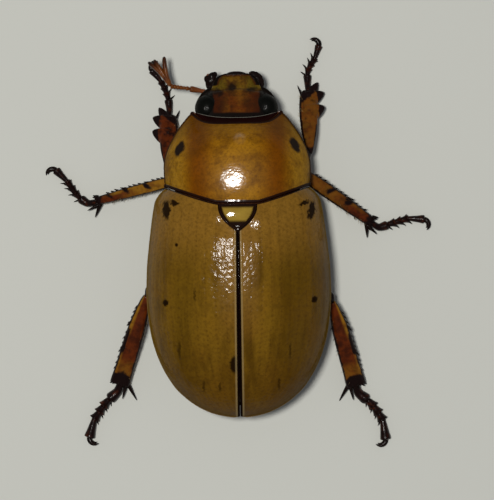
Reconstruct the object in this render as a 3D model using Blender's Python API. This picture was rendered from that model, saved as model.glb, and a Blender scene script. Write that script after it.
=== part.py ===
"""A grapevine beetle, life size, standing still with its head toward -Y.

All sizes are in millimetres and become metres when a mesh is made.
The beetle's left is +X, the floor is z = 0, and the body's axis is x = 0.
"""
import math
import random

import bpy
import bmesh
from mathutils import Vector

MM = 0.001
TINY = 1e-7
GAP = 0.3

# Elytra: outline from above, and heights of the top line and the side margin
SHOULDER_Y = -3.65
APEX_Y = 12.2
WIDEST_Y = 3.0
ELYTRA_HALF = 6.42
SHOULDER_HALF = 5.62
PEAK_Y = 1.0
PEAK_Z = 10.0
BASE_DROP = 0.55
MARGIN_Z = 4.3
SHELL = 0.5
SUTURE_HALF = 0.15
DOME_SQUARE = 2.4
ELYTRON_TURN = math.radians(104.0)
ELYTRON_COLUMNS = 15
ELYTRON_ROWS = 18

# Prothorax: the pronotum above, the prosternum below
PRONOTUM_FRONT_Y = -8.3
PRONOTUM_ANGLE_Y = -9.15
PRONOTUM_REAR_Y = -2.72
PRONOTUM_CORNER_Y = -3.95
PRONOTUM_HALF = 5.08
PRONOTUM_PEAK_Y = -4.4
PRONOTUM_PEAK_Z = 9.5
PRONOTUM_MARGIN_Z = 4.55
PRONOTUM_SQUARE = 2.05
FRONT_BEND = 5.0
HEAD_RECESS = 0.85
RECESS_WALL = 0.45

# Scutellum between the bases of the elytra
SCUTELLUM_TIP_Y = -0.78
SCUTELLUM_HALF = 1.28
SCUTELLUM_THICK = 0.55

# Thorax and abdomen under the elytra
CORE_INSET = SHELL + GAP + 0.05
THORAX_REAR_Y = 1.7
ABDOMEN_END_Y = 11.34
LAST_PLATE = 1.3
BELLY_Z = 2.2
STERNITES = 6
STERNITE_STEP = 0.13
PYGIDIUM_TILT = math.radians(32.0)
PYGIDIUM_CUT = (0.0, 10.15, 4.4)

# Head: y, half width, height of its sides, top, bottom, and squareness of the section
HEAD_STATIONS = (
    (-11.9, 0.8, 3.86, 4.02, 3.62, 2.4), (-11.7, 1.3, 3.84, 4.08, 3.45, 2.5),
    (-11.3, 1.58, 3.85, 4.2, 3.2, 2.6), (-10.85, 1.76, 3.9, 4.4, 2.55, 2.5),
    (-10.45, 2.1, 4.0, 4.66, 2.2, 2.4), (-9.9, 2.38, 4.2, 5.04, 2.15, 2.3),
    (-9.2, 2.4, 4.4, 5.42, 2.4, 2.2), (-8.65, 2.2, 4.5, 5.66, 3.1, 2.2),
    (-8.1, 1.85, 4.6, 5.68, 3.5, 2.2), (-7.8, 1.6, 4.6, 5.58, 3.7, 2.2))
EYE_RADII = (0.85, 0.92, 0.78)
EYE_GAP = 0.22
EYE_PLACE = (2.05, -9.48, 4.42)

# Mouthparts on one side, and the feelers: the left one out, the right one folded back
MANDIBLE_PATHS = {
    1: ((1.2, -10.95, 2.18), (1.65, -11.34, 2.6), (1.86, -11.7, 3.02), (1.74, -12.0, 3.15)),
    -1: ((-1.2, -10.95, 2.18), (-1.5, -11.32, 2.56), (-1.5, -11.72, 2.92), (-1.1, -12.0, 3.0)),
}
MANDIBLE_SIZES = ((0.32, 0.3), (0.38, 0.3), (0.36, 0.28), (0.16, 0.14))
PALP_PATHS = {
    1: ((0.85, -10.4, 1.8), (1.3, -10.75, 1.58), (1.7, -11.1, 1.68), (1.95, -11.5, 1.88),
        (2.0, -11.9, 2.08), (1.95, -12.05, 2.13)),
    -1: ((-0.85, -10.4, 1.8), (-1.2, -10.75, 1.56), (-1.45, -11.1, 1.6), (-1.55, -11.42, 1.72),
         (-1.5, -11.76, 1.84), (-1.44, -11.9, 1.88)),
}
PALP_RADII = (0.25, 0.25, 0.26, 0.27, 0.25, 0.15)
FEELERS = {
    "left": ((2.32, -10.72, 3.3), (3.15, -10.86, 3.5), (4.35, -11.04, 3.6)),
    "right": ((-2.3, -10.6, 2.85), (-2.5, -9.95, 2.35), (-2.3, -8.9, 1.95)),
}
CLUBS = {
    "left": ((4.76, -11.12, 3.6), ((6.2, -12.85, 3.6), (5.78, -12.98, 3.6), (5.05, -13.2, 3.6)), 0.12),
    "right": ((-2.22, -8.52, 1.9), ((-2.45, -6.85, 1.85), (-2.5, -6.8, 1.85), (-2.55, -6.85, 1.85)), 0.3),
}
FEELER_JOINTS = 6

# Legs: the least thickness, the sizes of segments and the number of sides
LIMB_SIDES = 8
TARSUS_SIDES = 6
FOOT_WIDE = {"fore": 0.28, "mid": 0.3, "hind": 0.34}
FOOT_NARROW = {"fore": 0.22, "mid": 0.24, "hind": 0.24}
SEGMENT_SHARES = (0.22, 0.15, 0.14, 0.14, 0.35)
CLAW_LENGTH = 1.05
CLAW_RADIUS = 0.15
SPINE_RADIUS = 0.13
SPUR_RADIUS = 0.16

# Of a tooth: its distance before the ankle, and its tip's reach out and ahead; then the rows of spines
# by share along the shin, count and reach
FORE_TEETH = ((0.5, 0.76, 1.06), (0.55, 1.14, 0.34), (1.62, 1.14, 0.24))
TOOTH_RADIUS = 0.42
SPINE_ROWS = ((0.34, 3, 0.36), (0.64, 4, 0.4), (0.94, 5, 0.34))
SPUR_TIPS = {"mid": ((0.4, 1.1, 0.0), (0.7, 0.5, 0.35)), "hind": ((0.85, 1.5, 0.0), (0.95, 0.5, 0.35))}

# Each leg: knee, ankle, the shin's half width and half height, and the foot by the headings of its
# joints in degrees and its length
LEGS = {
    "foreleg_left": dict(pair="fore", side=1, knee=(4.92, -5.3, 2.95), ankle=(4.84, -9.15, 0.72),
                         shin=(0.66, 0.3), headings=(276, 287, 292, 297, 309), length=3.1, hook=-1),
    "foreleg_right": dict(pair="fore", side=-1, knee=(-5.15, -6.15, 2.95), ankle=(-5.1, -10.8, 0.72),
                          shin=(0.66, 0.3), headings=(270, 256, 238, 236, 252), length=2.9, hook=1),
    "midleg_left": dict(pair="mid", side=1, knee=(4.3, -4.5, 2.65), ankle=(10.12, -3.1, 0.7),
                        shin=(0.43, 0.36), headings=(326, 312, 303, 305, 314), length=3.4, hook=1),
    "midleg_right": dict(pair="mid", side=-1, knee=(-4.5, -4.95, 2.65), ankle=(-9.55, -1.35, 0.7),
                         shin=(0.52, 0.36), headings=(196, 195, 197, 196, 176), length=3.4, hook=-1),
    "hindleg_left": dict(pair="hind", side=1, knee=(6.5, 3.55, 2.95), ankle=(8.6, 9.95, 0.72),
                         shin=(0.72, 0.42), headings=(42, 51, 54, 55, 74), length=4.0, hook=1),
    "hindleg_right": dict(pair="hind", side=-1, knee=(-6.6, 4.15, 2.95), ankle=(-8.3, 10.25, 0.72),
                          shin=(0.72, 0.42), headings=(141, 131, 126, 119, 98), length=4.1, hook=-1),
}

# Where each pair of legs grows from the underside: x and y of the coxa's middle and of the hip
COXA_PLACE = {"fore": (1.35, -6.35), "mid": (1.55, -2.1), "hind": (1.9, 0.55)}
HIP_PLACE = {"fore": (2.75, -6.1), "mid": (2.65, -3.2), "hind": (1.75, 2.35)}
COXA_SIZE = {"fore": (0.8, 0.75), "mid": (0.9, 0.7), "hind": (1.4, 0.62)}
COXA_DEPTH = {"fore": 0.5, "mid": 0.45, "hind": 0.45}
FEMUR_GROW = ((0.0, 0.45, 0.6), (0.08, 0.75, 0.85), (0.3, 1.0, 1.0), (0.6, 0.95, 1.0),
              (0.88, 0.72, 0.95), (1.0, 0.45, 0.7))
FEMUR_HALF = {"fore": (0.62, 0.42), "mid": (0.68, 0.42), "hind": (1.02, 0.45)}
KNEE_REACH = {"fore": 0.66, "mid": 0.42, "hind": 0.4}
TIBIA_SHARES = (0.0, 0.08, 0.3, 0.6, 0.85, 1.0)
TIBIA_GROW = {"fore": (0.5, 0.62, 0.9, 1.05, 1.0, 0.72), "mid": (0.7, 0.8, 1.0, 1.0, 0.88, 0.8),
              "hind": (0.55, 0.7, 1.0, 1.0, 0.95, 1.1)}

COLOURS = {
    "elytra": ((0.55, 0.36, 0.13), 0.3),
    "pronotum": ((0.56, 0.3, 0.08), 0.25),
    "head": ((0.4, 0.2, 0.05), 0.3),
    "eye": ((0.01, 0.01, 0.012), 0.12),
    "dark": ((0.06, 0.02, 0.01), 0.35),
    "leg": ((0.38, 0.15, 0.035), 0.3),
    "under": ((0.12, 0.045, 0.02), 0.4),
    "antenna": ((0.3, 0.1, 0.03), 0.35),
}


def clear_scene():
    """Remove whatever the scene holds."""
    for item in list(bpy.data.objects):
        bpy.data.objects.remove(item)


def material(name):
    """The named colour as a Principled material, made once."""
    found = bpy.data.materials.get(name)
    if found:
        return found
    colour, rough = COLOURS[name]
    made = bpy.data.materials.new(name)
    made.use_nodes = True
    shader = made.node_tree.nodes["Principled BSDF"]
    shader.inputs["Base Color"].default_value = (*colour, 1.0)
    shader.inputs["Roughness"].default_value = rough
    shader.inputs["Metallic"].default_value = 0.0
    return made


def make_object(name, points, faces, colour):
    """A mesh object from points in millimetres."""
    mesh = bpy.data.meshes.new(name)
    mesh.from_pydata([Vector(p) * MM for p in points], [], faces)
    mesh.update()
    made = bpy.data.objects.new(name, mesh)
    bpy.context.scene.collection.objects.link(made)
    mesh.materials.append(material(colour))
    face_out(made)
    return made


def face_out(item):
    """Turn every face of a closed mesh outward."""
    work = bmesh.new()
    work.from_mesh(item.data)
    bmesh.ops.recalc_face_normals(work, faces=work.faces)
    if work.calc_volume(signed=True) < 0:
        bmesh.ops.reverse_faces(work, faces=work.faces)
    work.to_mesh(item.data)
    work.free()


def smooth(item, degrees=40.0):
    """Smooth shading with creases kept."""
    item.data.shade_smooth()
    item.data.set_sharp_from_angle(angle=math.radians(degrees))


def power(value, exponent):
    """A signed power."""
    return math.copysign(abs(value) ** exponent, value)


def loft(name, rings, colour, first=None, last=None):
    """A closed body through rings of equal count, with a cap or a middle point at each end."""
    count = len(rings[0])
    points = [p for ring in rings for p in ring]
    faces = []
    for r in range(len(rings) - 1):
        for i in range(count):
            j = (i + 1) % count
            a, b = r * count, (r + 1) * count
            faces.append((a + i, a + j, b + j, b + i))
    for middle, start in ((first, 0), (last, (len(rings) - 1) * count)):
        rim = [start + i for i in range(count)]
        if middle is None:
            faces.append(tuple(rim))
        else:
            points.append(middle)
            faces += [(rim[i], rim[(i + 1) % count], len(points) - 1) for i in range(count)]
    return make_object(name, points, faces, colour)


def section(half, middle, top, bottom, sides, square=2.0, tuck=1.0):
    """A closed cross-section as (x, z) pairs, with the lower half narrowed by tuck."""
    points = []
    for i in range(sides):
        angle = 2.0 * math.pi * i / sides
        across = power(math.cos(angle), 2.0 / square)
        up = power(math.sin(angle), 2.0 / square)
        if up < -0.001:
            points.append((half * tuck * across, middle + (middle - bottom) * up))
        else:
            points.append((half * across, middle + (top - middle) * up))
    return points


def ellipsoid(name, centre, radii, colour, sides=12, rows=7):
    """A closed ellipsoid with its poles along x."""
    rings = []
    for r in range(1, rows):
        polar = math.pi * r / rows
        rings.append([(centre[0] + radii[0] * math.cos(polar),
                       centre[1] + radii[1] * math.sin(polar) * math.cos(2 * math.pi * i / sides),
                       centre[2] + radii[2] * math.sin(polar) * math.sin(2 * math.pi * i / sides))
                      for i in range(sides)])
    ends = [(centre[0] + s * radii[0], centre[1], centre[2]) for s in (1, -1)]
    return loft(name, rings, colour, ends[0], ends[1])


def tube(name, path, sizes, colour, sides=LIMB_SIDES, up=(0, 0, 1), point=False, turn=0.0):
    """A limb along a path, with (half width, half height) at each of its points."""
    path = [Vector(p) for p in path]
    rings = []
    for i, place in enumerate(path):
        along = (path[min(i + 1, len(path) - 1)] - path[max(i - 1, 0)]).normalized()
        across = along.cross(Vector(up)).normalized()
        over = across.cross(along)
        wide, high = sizes[i]
        ring = []
        for s in range(sides):
            angle = 2.0 * math.pi * (s + turn) / sides
            ring.append(place + across * wide * math.cos(angle) + over * high * math.sin(angle))
        rings.append(ring)
    if point:
        tip = path[-1]
        return loft(name, rings[:-1], colour, last=tip)
    return loft(name, rings, colour)


def fuse(body, pieces):
    """Unite the pieces with the body and keep its largest closed surface."""
    group = bpy.data.collections.new(body.name + "_pieces")
    bpy.context.scene.collection.children.link(group)
    for piece in pieces:
        bpy.context.scene.collection.objects.unlink(piece)
        group.objects.link(piece)
    union = body.modifiers.new("union", "BOOLEAN")
    union.operand_type = "COLLECTION"
    union.operation = "UNION"
    union.collection = group
    union.solver = "EXACT"
    seen = bpy.context.evaluated_depsgraph_get()
    merged = bpy.data.meshes.new_from_object(body.evaluated_get(seen))
    body.modifiers.clear()
    body.data = merged
    for piece in pieces:
        bpy.data.objects.remove(piece)
    bpy.data.collections.remove(group)
    keep_largest(body)


def keep_largest(body):
    """Delete every closed surface but the one with the most room inside."""
    work = bmesh.new()
    work.from_mesh(body.data)
    bmesh.ops.remove_doubles(work, verts=work.verts, dist=TINY)
    bmesh.ops.dissolve_degenerate(work, dist=TINY, edges=work.edges)
    bmesh.ops.triangulate(work, faces=work.faces)
    left = set(work.faces)
    shells = []
    while left:
        shell = {left.pop()}
        edge_of = list(shell)
        while edge_of:
            face = edge_of.pop()
            for side in face.edges:
                for other in side.link_faces:
                    if other in left:
                        left.discard(other)
                        shell.add(other)
                        edge_of.append(other)
        shells.append(shell)
    shells.sort(key=shell_volume)
    for shell in shells[:-1]:
        bmesh.ops.delete(work, geom=list(shell), context="FACES")
    work.to_mesh(body.data)
    work.free()


def shell_volume(shell):
    """The volume inside a shell of triangles."""
    total = 0.0
    for face in shell:
        a, b, c = (v.co for v in face.verts)
        total += a.dot(b.cross(c)) / 6.0
    return abs(total)


def elytra_half(y, inset=0.0):
    """Half the width across both elytra."""
    half = ELYTRA_HALF - inset
    if y > WIDEST_Y:
        share = min((y - WIDEST_Y) / (APEX_Y - inset - WIDEST_Y), 1.0)
        return half * (1.0 - share ** 2.4) ** (1.0 / 2.1)
    share = (WIDEST_Y - y) / (WIDEST_Y - SHOULDER_Y)
    half -= (ELYTRA_HALF - SHOULDER_HALF) * share ** 1.6
    corner = max(0.0, (SHOULDER_Y + 0.9 - y) / 0.9)
    return half - 0.45 * corner ** 2


def elytra_margin(y):
    """Height of the elytra's side margin."""
    return MARGIN_Z + 0.35 * ((y - 2.0) / 10.0) ** 2


def elytra_top(y, inset=0.0):
    """Height of the line along the suture."""
    low = elytra_margin(y)
    if y > PEAK_Y:
        share = min((y - PEAK_Y) / (APEX_Y - inset - PEAK_Y), 1.0)
        return low + (PEAK_Z - inset - low) * (1.0 - share ** 2.2) ** 0.5
    return PEAK_Z - inset - BASE_DROP * ((PEAK_Y - y) / 3.4) ** 2


def dome_z(x, y, inset=0.0):
    """Height of the elytra's dome above a place, moved inward by the inset."""
    half = elytra_half(y, inset)
    low = elytra_margin(y)
    share = min(abs(x) / half, 1.0) if half > 0 else 1.0
    rise = (1.0 - share ** DOME_SQUARE) ** (1.0 / DOME_SQUARE)
    return low + (elytra_top(y, inset) - low) * rise


def pronotum_rear(x):
    """The hind edge of the pronotum, with its broad middle lobe."""
    share = max(0.0, (abs(x) - 1.4) / (PRONOTUM_HALF - 1.4))
    return PRONOTUM_REAR_Y + (PRONOTUM_CORNER_Y - PRONOTUM_REAR_Y) * share ** 1.15


def scutellum_half(y):
    """Half the width of the scutellum, from its base to its tip."""
    share = (y - PRONOTUM_REAR_Y) / (SCUTELLUM_TIP_Y - PRONOTUM_REAR_Y)
    return SCUTELLUM_HALF * max(0.0, 1.0 - share ** 2.5) ** 1.2


def elytron_front(x):
    """The front edge of an elytron, round the scutellum and along the pronotum."""
    edge = pronotum_rear(x) + GAP
    share = (abs(x) - 0.1) / (SCUTELLUM_HALF + GAP)
    if share < 1.0:
        share = max(0.0, share)
        round_tip = SCUTELLUM_TIP_Y + GAP
        along = (1.0 - share ** 0.833) ** 0.4
        edge = max(edge, PRONOTUM_REAR_Y + (round_tip - PRONOTUM_REAR_Y) * along)
    return edge


def elytron_point(column, row, inset):
    """A point of the elytron's dome at shares across and along, moved inward by the inset."""
    angle = ELYTRON_TURN * column
    end = APEX_Y - inset
    spread = math.sin(min(angle, math.pi / 2.0)) ** (2.0 / DOME_SQUARE)
    start = SHOULDER_Y
    for _ in range(4):
        start = elytron_front(SUTURE_HALF + (elytra_half(start, inset) - SUTURE_HALF) * spread)
    along = math.sin(row * math.pi / 2.0) ** 1.15
    y = start + (end - start) * along
    half, low, top = elytra_half(y, inset), elytra_margin(y), elytra_top(y, inset)
    across = power(math.sin(angle), 2.0 / DOME_SQUARE)
    up = power(math.cos(angle), 2.0 / DOME_SQUARE)
    if angle > math.pi / 2.0:
        across = math.sin(angle)
        up = math.cos(angle) * 0.35
    return (SUTURE_HALF + (half - SUTURE_HALF) * across, y, low + (top - low) * up)


def elytron(name, side):
    """One wing case: an outer dome and an inner one, triangulated alike."""
    columns, rows = ELYTRON_COLUMNS, ELYTRON_ROWS
    points = []
    for inset in (0.0, SHELL):
        for row in range(rows):
            for column in range(columns):
                spread = (column / (columns - 1)) ** 1.25
                x, y, z = elytron_point(spread, row / rows, inset)
                points.append((side * x, y, z))
        points.append((side * (SUTURE_HALF + 0.2), APEX_Y - inset, elytra_margin(APEX_Y)))
    layer = columns * rows + 1
    faces = []
    for base in (0, layer):
        faces += dome_faces(base, columns, rows)
    edge = [row * columns for row in range(rows)] + [layer - 1]
    edge += [row * columns + columns - 1 for row in reversed(range(rows))]
    edge += list(range(columns - 2, 0, -1))
    for i, place in enumerate(edge):
        after = edge[(i + 1) % len(edge)]
        faces.append((place, after, after + layer))
        faces.append((place, after + layer, place + layer))
    made = make_object(name, points, faces, "elytra")
    smooth(made)
    return made


def dome_faces(base, columns, rows):
    """Triangles of one layer of a dome that ends in a single point."""
    faces = []
    for row in range(rows - 1):
        for column in range(columns - 1):
            a = base + row * columns + column
            faces.append((a, a + 1, a + columns + 1))
            faces.append((a, a + columns + 1, a + columns))
    last = base + (rows - 1) * columns
    tip = base + rows * columns
    faces += [(last + column, last + column + 1, tip) for column in range(columns - 1)]
    return faces


def pronotum_half(y):
    """Half the width of the pronotum at its side margin."""
    share = (y - PRONOTUM_ANGLE_Y) / (PRONOTUM_CORNER_Y - PRONOTUM_ANGLE_Y)
    share = min(max(share, 0.0), 1.0)
    return 3.05 + (PRONOTUM_HALF - 3.05) * math.sin(min(share * 1.32, 1.0) * math.pi / 2.0) ** 0.9 \
        - 0.03 * max(0.0, share - 0.8) / 0.2


def pronotum_top(y):
    """Height of the pronotum along the middle."""
    away = y - PRONOTUM_PEAK_Y
    return PRONOTUM_PEAK_Z - 0.1 * away ** 2 - 0.005 * away ** 4


def prosternum_z(y):
    """Height of the prothorax's underside along the middle."""
    return 2.55 + 0.05 * abs(y + 5.6) ** 1.5


def prothorax():
    """Pronotum and prosternum in one piece, with a recess for the head."""
    sides, rows = 36, 11
    rings = []
    for row in range(rows):
        share = row / (rows - 1)
        margin_y = PRONOTUM_ANGLE_Y + (PRONOTUM_CORNER_Y - PRONOTUM_ANGLE_Y) * share
        half = pronotum_half(margin_y)
        ring = []
        for x, up in section(half, 0.0, 1.0, -1.0, sides, PRONOTUM_SQUARE, 0.97):
            near = min(abs(x) / half, 1.0)
            front = PRONOTUM_FRONT_Y + (PRONOTUM_ANGLE_Y - PRONOTUM_FRONT_Y) * near ** FRONT_BEND
            rear = pronotum_rear(abs(x) / half * PRONOTUM_HALF)
            if up < -0.001:
                front = PRONOTUM_ANGLE_Y + 0.9 * min(1.0, -up * 1.5)
                rear = PRONOTUM_CORNER_Y
            y = front + (rear - front) * share
            top, bottom = pronotum_top(y), prosternum_z(y)
            low = PRONOTUM_MARGIN_Z
            z = low + (top - low) * up if up >= 0 else low + (low - bottom) * up
            ring.append((x, y, z))
        rings.append(ring)
    rim = rings[0]
    centre_z = 4.7
    wall, floor = [], []
    for x, y, z in rim:
        reach = math.hypot(x, z - centre_z)
        shrink = max(0.2, 1.0 - RECESS_WALL / reach)
        wall.append((x * shrink, y + 0.05, centre_z + (z - centre_z) * shrink))
        floor.append((x * shrink * 0.93, PRONOTUM_FRONT_Y + HEAD_RECESS,
                      centre_z + (z - centre_z) * shrink * 0.93))
    rings = [floor, wall] + rings
    made = loft("prothorax", rings, "pronotum", (0.0, PRONOTUM_FRONT_Y + HEAD_RECESS, centre_z),
                (0.0, -3.55, 5.3))
    smooth(made)
    return made


def scutellum():
    """The shield-shaped plate between the elytra."""
    outline = []
    rows = 7
    base = PRONOTUM_REAR_Y + GAP
    for i in range(rows):
        y = base + (SCUTELLUM_TIP_Y - base) * math.sin(i / rows * math.pi / 2.0)
        outline.append((scutellum_half(y), y))
    outline = outline + [(0.0, SCUTELLUM_TIP_Y)] + [(-x, y) for x, y in reversed(outline)]
    top = [(x, y, dome_z(x, y) - 0.02) for x, y in outline]
    low = [(x, y, z - SCUTELLUM_THICK) for x, y, z in top]
    made = loft("scutellum", [low, top], "pronotum")
    smooth(made)
    return made


def belly_z(y):
    """Height of the underside along the middle, behind the prothorax."""
    if y < THORAX_REAR_Y:
        return BELLY_Z + 0.05 * (y + 0.5) ** 2 if y < -0.5 else BELLY_Z
    return BELLY_Z + 0.25 + 0.009 * (y - THORAX_REAR_Y) ** 2


def underside_z(x, y):
    """Height of the body's underside above a place."""
    if y < PRONOTUM_CORNER_Y:
        half, low, bottom = pronotum_half(y) * 0.97, PRONOTUM_MARGIN_Z, prosternum_z(y)
        square = PRONOTUM_SQUARE
    else:
        half, low, bottom = elytra_half(y, CORE_INSET), elytra_margin(y), belly_z(y)
        square = 2.2
    share = min(abs(x) / half, 1.0)
    return low - (low - bottom) * (1.0 - share ** square) ** (1.0 / square)


def thorax():
    """The hind two parts of the thorax, under the front of the elytra."""
    sides, rows = 24, 6
    rings = []
    for row in range(rows):
        share = row / (rows - 1)
        ring = []
        for x, up in section(1.0, 0.0, 1.0, -1.0, sides, 2.2):
            start = PRONOTUM_CORNER_Y + GAP
            if up > 0:
                guess = abs(x) * elytra_half(SHOULDER_Y, CORE_INSET)
                start = pronotum_rear(guess) + GAP + 0.15
            y = start + (THORAX_REAR_Y - start) * share
            half = elytra_half(y, CORE_INSET + 0.1)
            low = elytra_margin(y)
            top = elytra_top(y, CORE_INSET + 0.1)
            z = low + (top - low) * up if up >= 0 else low + (low - belly_z(y)) * up
            if up > 0:
                z = min(z, dome_z(0.0, y) - SCUTELLUM_THICK - GAP - 0.15)
            ring.append((x * half, y, z))
        rings.append(ring)
    made = loft("thorax", rings, "under", (0.0, -3.2, 5.3), (0.0, THORAX_REAR_Y, 5.3))
    smooth(made)
    return made


def abdomen_bottom(y):
    """Height of the abdomen's underside along the middle, rounding up at the end."""
    low = elytra_margin(y)
    share = min(max((y - 7.0) / (ABDOMEN_END_Y - 7.0), 0.0), 1.0)
    return low - (low - belly_z(min(y, 9.0))) * (1.0 - share ** 4.0) ** 0.5


def abdomen_body(name):
    """The whole abdomen with a step at the hind edge of each sternite, ending in a point."""
    sides = 28
    start = THORAX_REAR_Y + GAP
    stops = []
    for plate in range(STERNITES):
        for share, step in ((0.04, STERNITE_STEP), (0.95, 0.0)):
            stops.append(((plate + share) / STERNITES, step))
    rings = []
    for share, step in stops:
        y = start + (ABDOMEN_END_Y - LAST_PLATE - start) * share
        rings.append(abdomen_ring(y, step, sides))
    for back in (0.62, 0.3, 0.1, 0.02):
        rings.append(abdomen_ring(ABDOMEN_END_Y - LAST_PLATE * back, 0.0, sides))
    end = (0.0, ABDOMEN_END_Y, elytra_margin(ABDOMEN_END_Y))
    return loft(name, rings, "under", (0.0, rings[0][0][1], 5.3), end)


def abdomen_ring(y, step, sides):
    """One upright ring of the abdomen."""
    half = elytra_half(y, CORE_INSET)
    ring = []
    low, top = elytra_margin(y), elytra_top(y, CORE_INSET)
    bottom = min(abdomen_bottom(y) + step, low - 0.02)
    for x, up in section(1.0, 0.0, 1.0, -1.0, sides, 2.2):
        z = low + ((top - low) if up > 0 else (low - bottom)) * up
        ring.append((x * half, y, z))
    return ring


def abdomen():
    """The abdomen in front of the slanting cut."""
    made = abdomen_body("abdomen")
    cut_by_slab(made, -0.5 * GAP, 1.0)
    smooth(made)
    return made


def pygidium():
    """The last plate, which closes the body below the tips of the elytra."""
    made = abdomen_body("pygidium")
    cut_by_slab(made, 0.5 * GAP, -1.0)
    smooth(made)
    return made


def cut_by_slab(body, offset, way):
    """Cut away what lies on one side of the slanting plane before the last plate."""
    size = 12.0
    back = Vector((0.0, math.cos(PYGIDIUM_TILT), -math.sin(PYGIDIUM_TILT)))
    up = Vector((0.0, math.sin(PYGIDIUM_TILT), math.cos(PYGIDIUM_TILT)))
    middle = Vector(PYGIDIUM_CUT) + back * (offset + way * size)
    corners = []
    for b in (-size, size):
        corners.append([tuple(middle + back * b + Vector((x, 0, 0)) + up * z)
                        for x, z in ((-size, -size), (size, -size), (size, size), (-size, size))])
    slab = loft("slab", corners, "under")
    subtract(body, slab)


def smooth_rows(stations, parts):
    """Rows between the given ones, on a curve through them."""
    rows = []
    for i in range(len(stations) - 1):
        before = stations[max(i - 1, 0)]
        a, b = stations[i], stations[i + 1]
        after = stations[min(i + 2, len(stations) - 1)]
        for p in range(parts):
            t = p / parts
            rows.append(tuple(
                0.5 * (2 * a[k] + (b[k] - before[k]) * t
                       + (2 * before[k] - 5 * a[k] + 4 * b[k] - after[k]) * t * t
                       + (3 * a[k] - before[k] - 3 * b[k] + after[k]) * t ** 3)
                for k in range(len(a))))
    rows.append(tuple(stations[-1]))
    return rows


def head():
    """The head with the shield-like clypeus in front and the neck behind."""
    rings = []
    for y, half, middle, top, bottom, square in smooth_rows(HEAD_STATIONS, 2):
        rings.append([(x, y, z) for x, z in section(half, middle, top, bottom, 28, square)])
    made = loft("head", rings, "head")
    smooth(made)
    return made


def eye(name, side):
    """A bulging compound eye beside the head."""
    x, y, z = EYE_PLACE
    made = ellipsoid(name, (side * x, y, z), EYE_RADII, "eye")
    smooth(made, 60)
    return made


def grown_copy(item, grow):
    """A copy of a mesh object, swollen by a distance."""
    work = bmesh.new()
    work.from_mesh(item.data)
    work.normal_update()
    places = [v.co + v.normal * grow * MM for v in work.verts]
    for vert, place in zip(work.verts, places):
        vert.co = place
    mesh = bpy.data.meshes.new("grown")
    work.to_mesh(mesh)
    work.free()
    made = bpy.data.objects.new("grown", mesh)
    bpy.context.scene.collection.objects.link(made)
    return made


def subtract(body, cutter):
    """Cut one object out of another, and remove the cutter."""
    cut = body.modifiers.new("cut", "BOOLEAN")
    cut.operation = "DIFFERENCE"
    cut.object = cutter
    cut.solver = "EXACT"
    seen = bpy.context.evaluated_depsgraph_get()
    result = bpy.data.meshes.new_from_object(body.evaluated_get(seen))
    body.modifiers.clear()
    body.data = result
    bpy.data.objects.remove(cutter)
    keep_largest(body)


def mandible(name, side):
    """A stout jaw that shows beside the clypeus."""
    made = tube(name, MANDIBLE_PATHS[side], MANDIBLE_SIZES, "dark", 8)
    smooth(made)
    return made


def palp(name, side):
    """A jointed feeler of the mouth, below the jaw."""
    made = tube(name, PALP_PATHS[side], [(r, r) for r in PALP_RADII], "dark", 6)
    smooth(made)
    return made


def antenna(name, path):
    """The long first joint and the short ones after it, up to the club."""
    places, sizes = [], []
    a, b, c = (Vector(p) for p in path)
    for share, radius in ((0.0, 0.24), (0.2, 0.25), (0.6, 0.3), (0.88, 0.34), (1.0, 0.27)):
        places.append(a.lerp(b, share))
        sizes.append((radius, radius))
    for joint in range(FEELER_JOINTS):
        for share, radius in ((0.3, 0.28), (0.75, 0.29), (1.0, 0.24)):
            places.append(b.lerp(c, (joint + share) / FEELER_JOINTS))
            sizes.append((radius, radius))
    made = tube(name, places, sizes, "antenna", 7)
    smooth(made)
    return made


def club(name, root, tips, spread):
    """Three blades that fan out from one root."""
    blades = []
    root = Vector(root)
    for i, tip in enumerate(tips):
        tip = Vector(tip)
        shares = (0.0, 0.25, 0.6, 0.88, 1.0)
        path = [root.lerp(tip, s) + Vector((0, 0, spread * s * (i - 1))) for s in shares]
        sizes = [(0.22, 0.3), (0.24, 0.36), (0.25, 0.4), (0.2, 0.34), (0.1, 0.16)]
        blades.append(tube(f"{name}_{i}", path, sizes, "antenna", 6))
    made = blades[0]
    made.name = name
    fuse(made, blades[1:])
    smooth(made)
    return made


def spine(root, tip, radius=SPINE_RADIUS, bend=(0, 0, 0), sides=4):
    """One tapered spine, a little bent."""
    root, tip = Vector(root), Vector(tip)
    middle = root.lerp(tip, 0.55) + Vector(bend)
    return tube("spine", [root, middle, tip], [(radius, radius), (radius * 0.68, radius * 0.68), (0, 0)],
                "leg", sides, up=(0.12, 0.35, 0.93), point=True)


def underside_root(pair, side):
    """The place on the underside that a coxa grows from, and the way out of it."""
    x, y = COXA_PLACE[pair]
    step = 0.2
    here = underside_z(x, y)
    slope = Vector((underside_z(x + step, y) - here, underside_z(x, y + step) - here, -step))
    out = Vector((slope.x * side, slope.y, slope.z)).normalized()
    return Vector((side * x, y, here)), out


def coxa(name, leg):
    """The first joint of a leg, a low drum on the underside."""
    pair, side = leg["pair"], leg["side"]
    root, out = underside_root(pair, side)
    wide, long = COXA_SIZE[pair]
    depth = COXA_DEPTH[pair]
    path = [root + out * (GAP + s * depth) for s in (0.0, 0.45, 0.85, 1.0)]
    grow = ((1.0, 1.0), (1.02, 1.02), (0.86, 0.84), (0.6, 0.55))
    sizes = [(wide * w, long * l) for w, l in grow]
    made = tube(name, path, sizes, "under", 10, up=(0, 1, 0))
    smooth(made)
    return made


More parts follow.
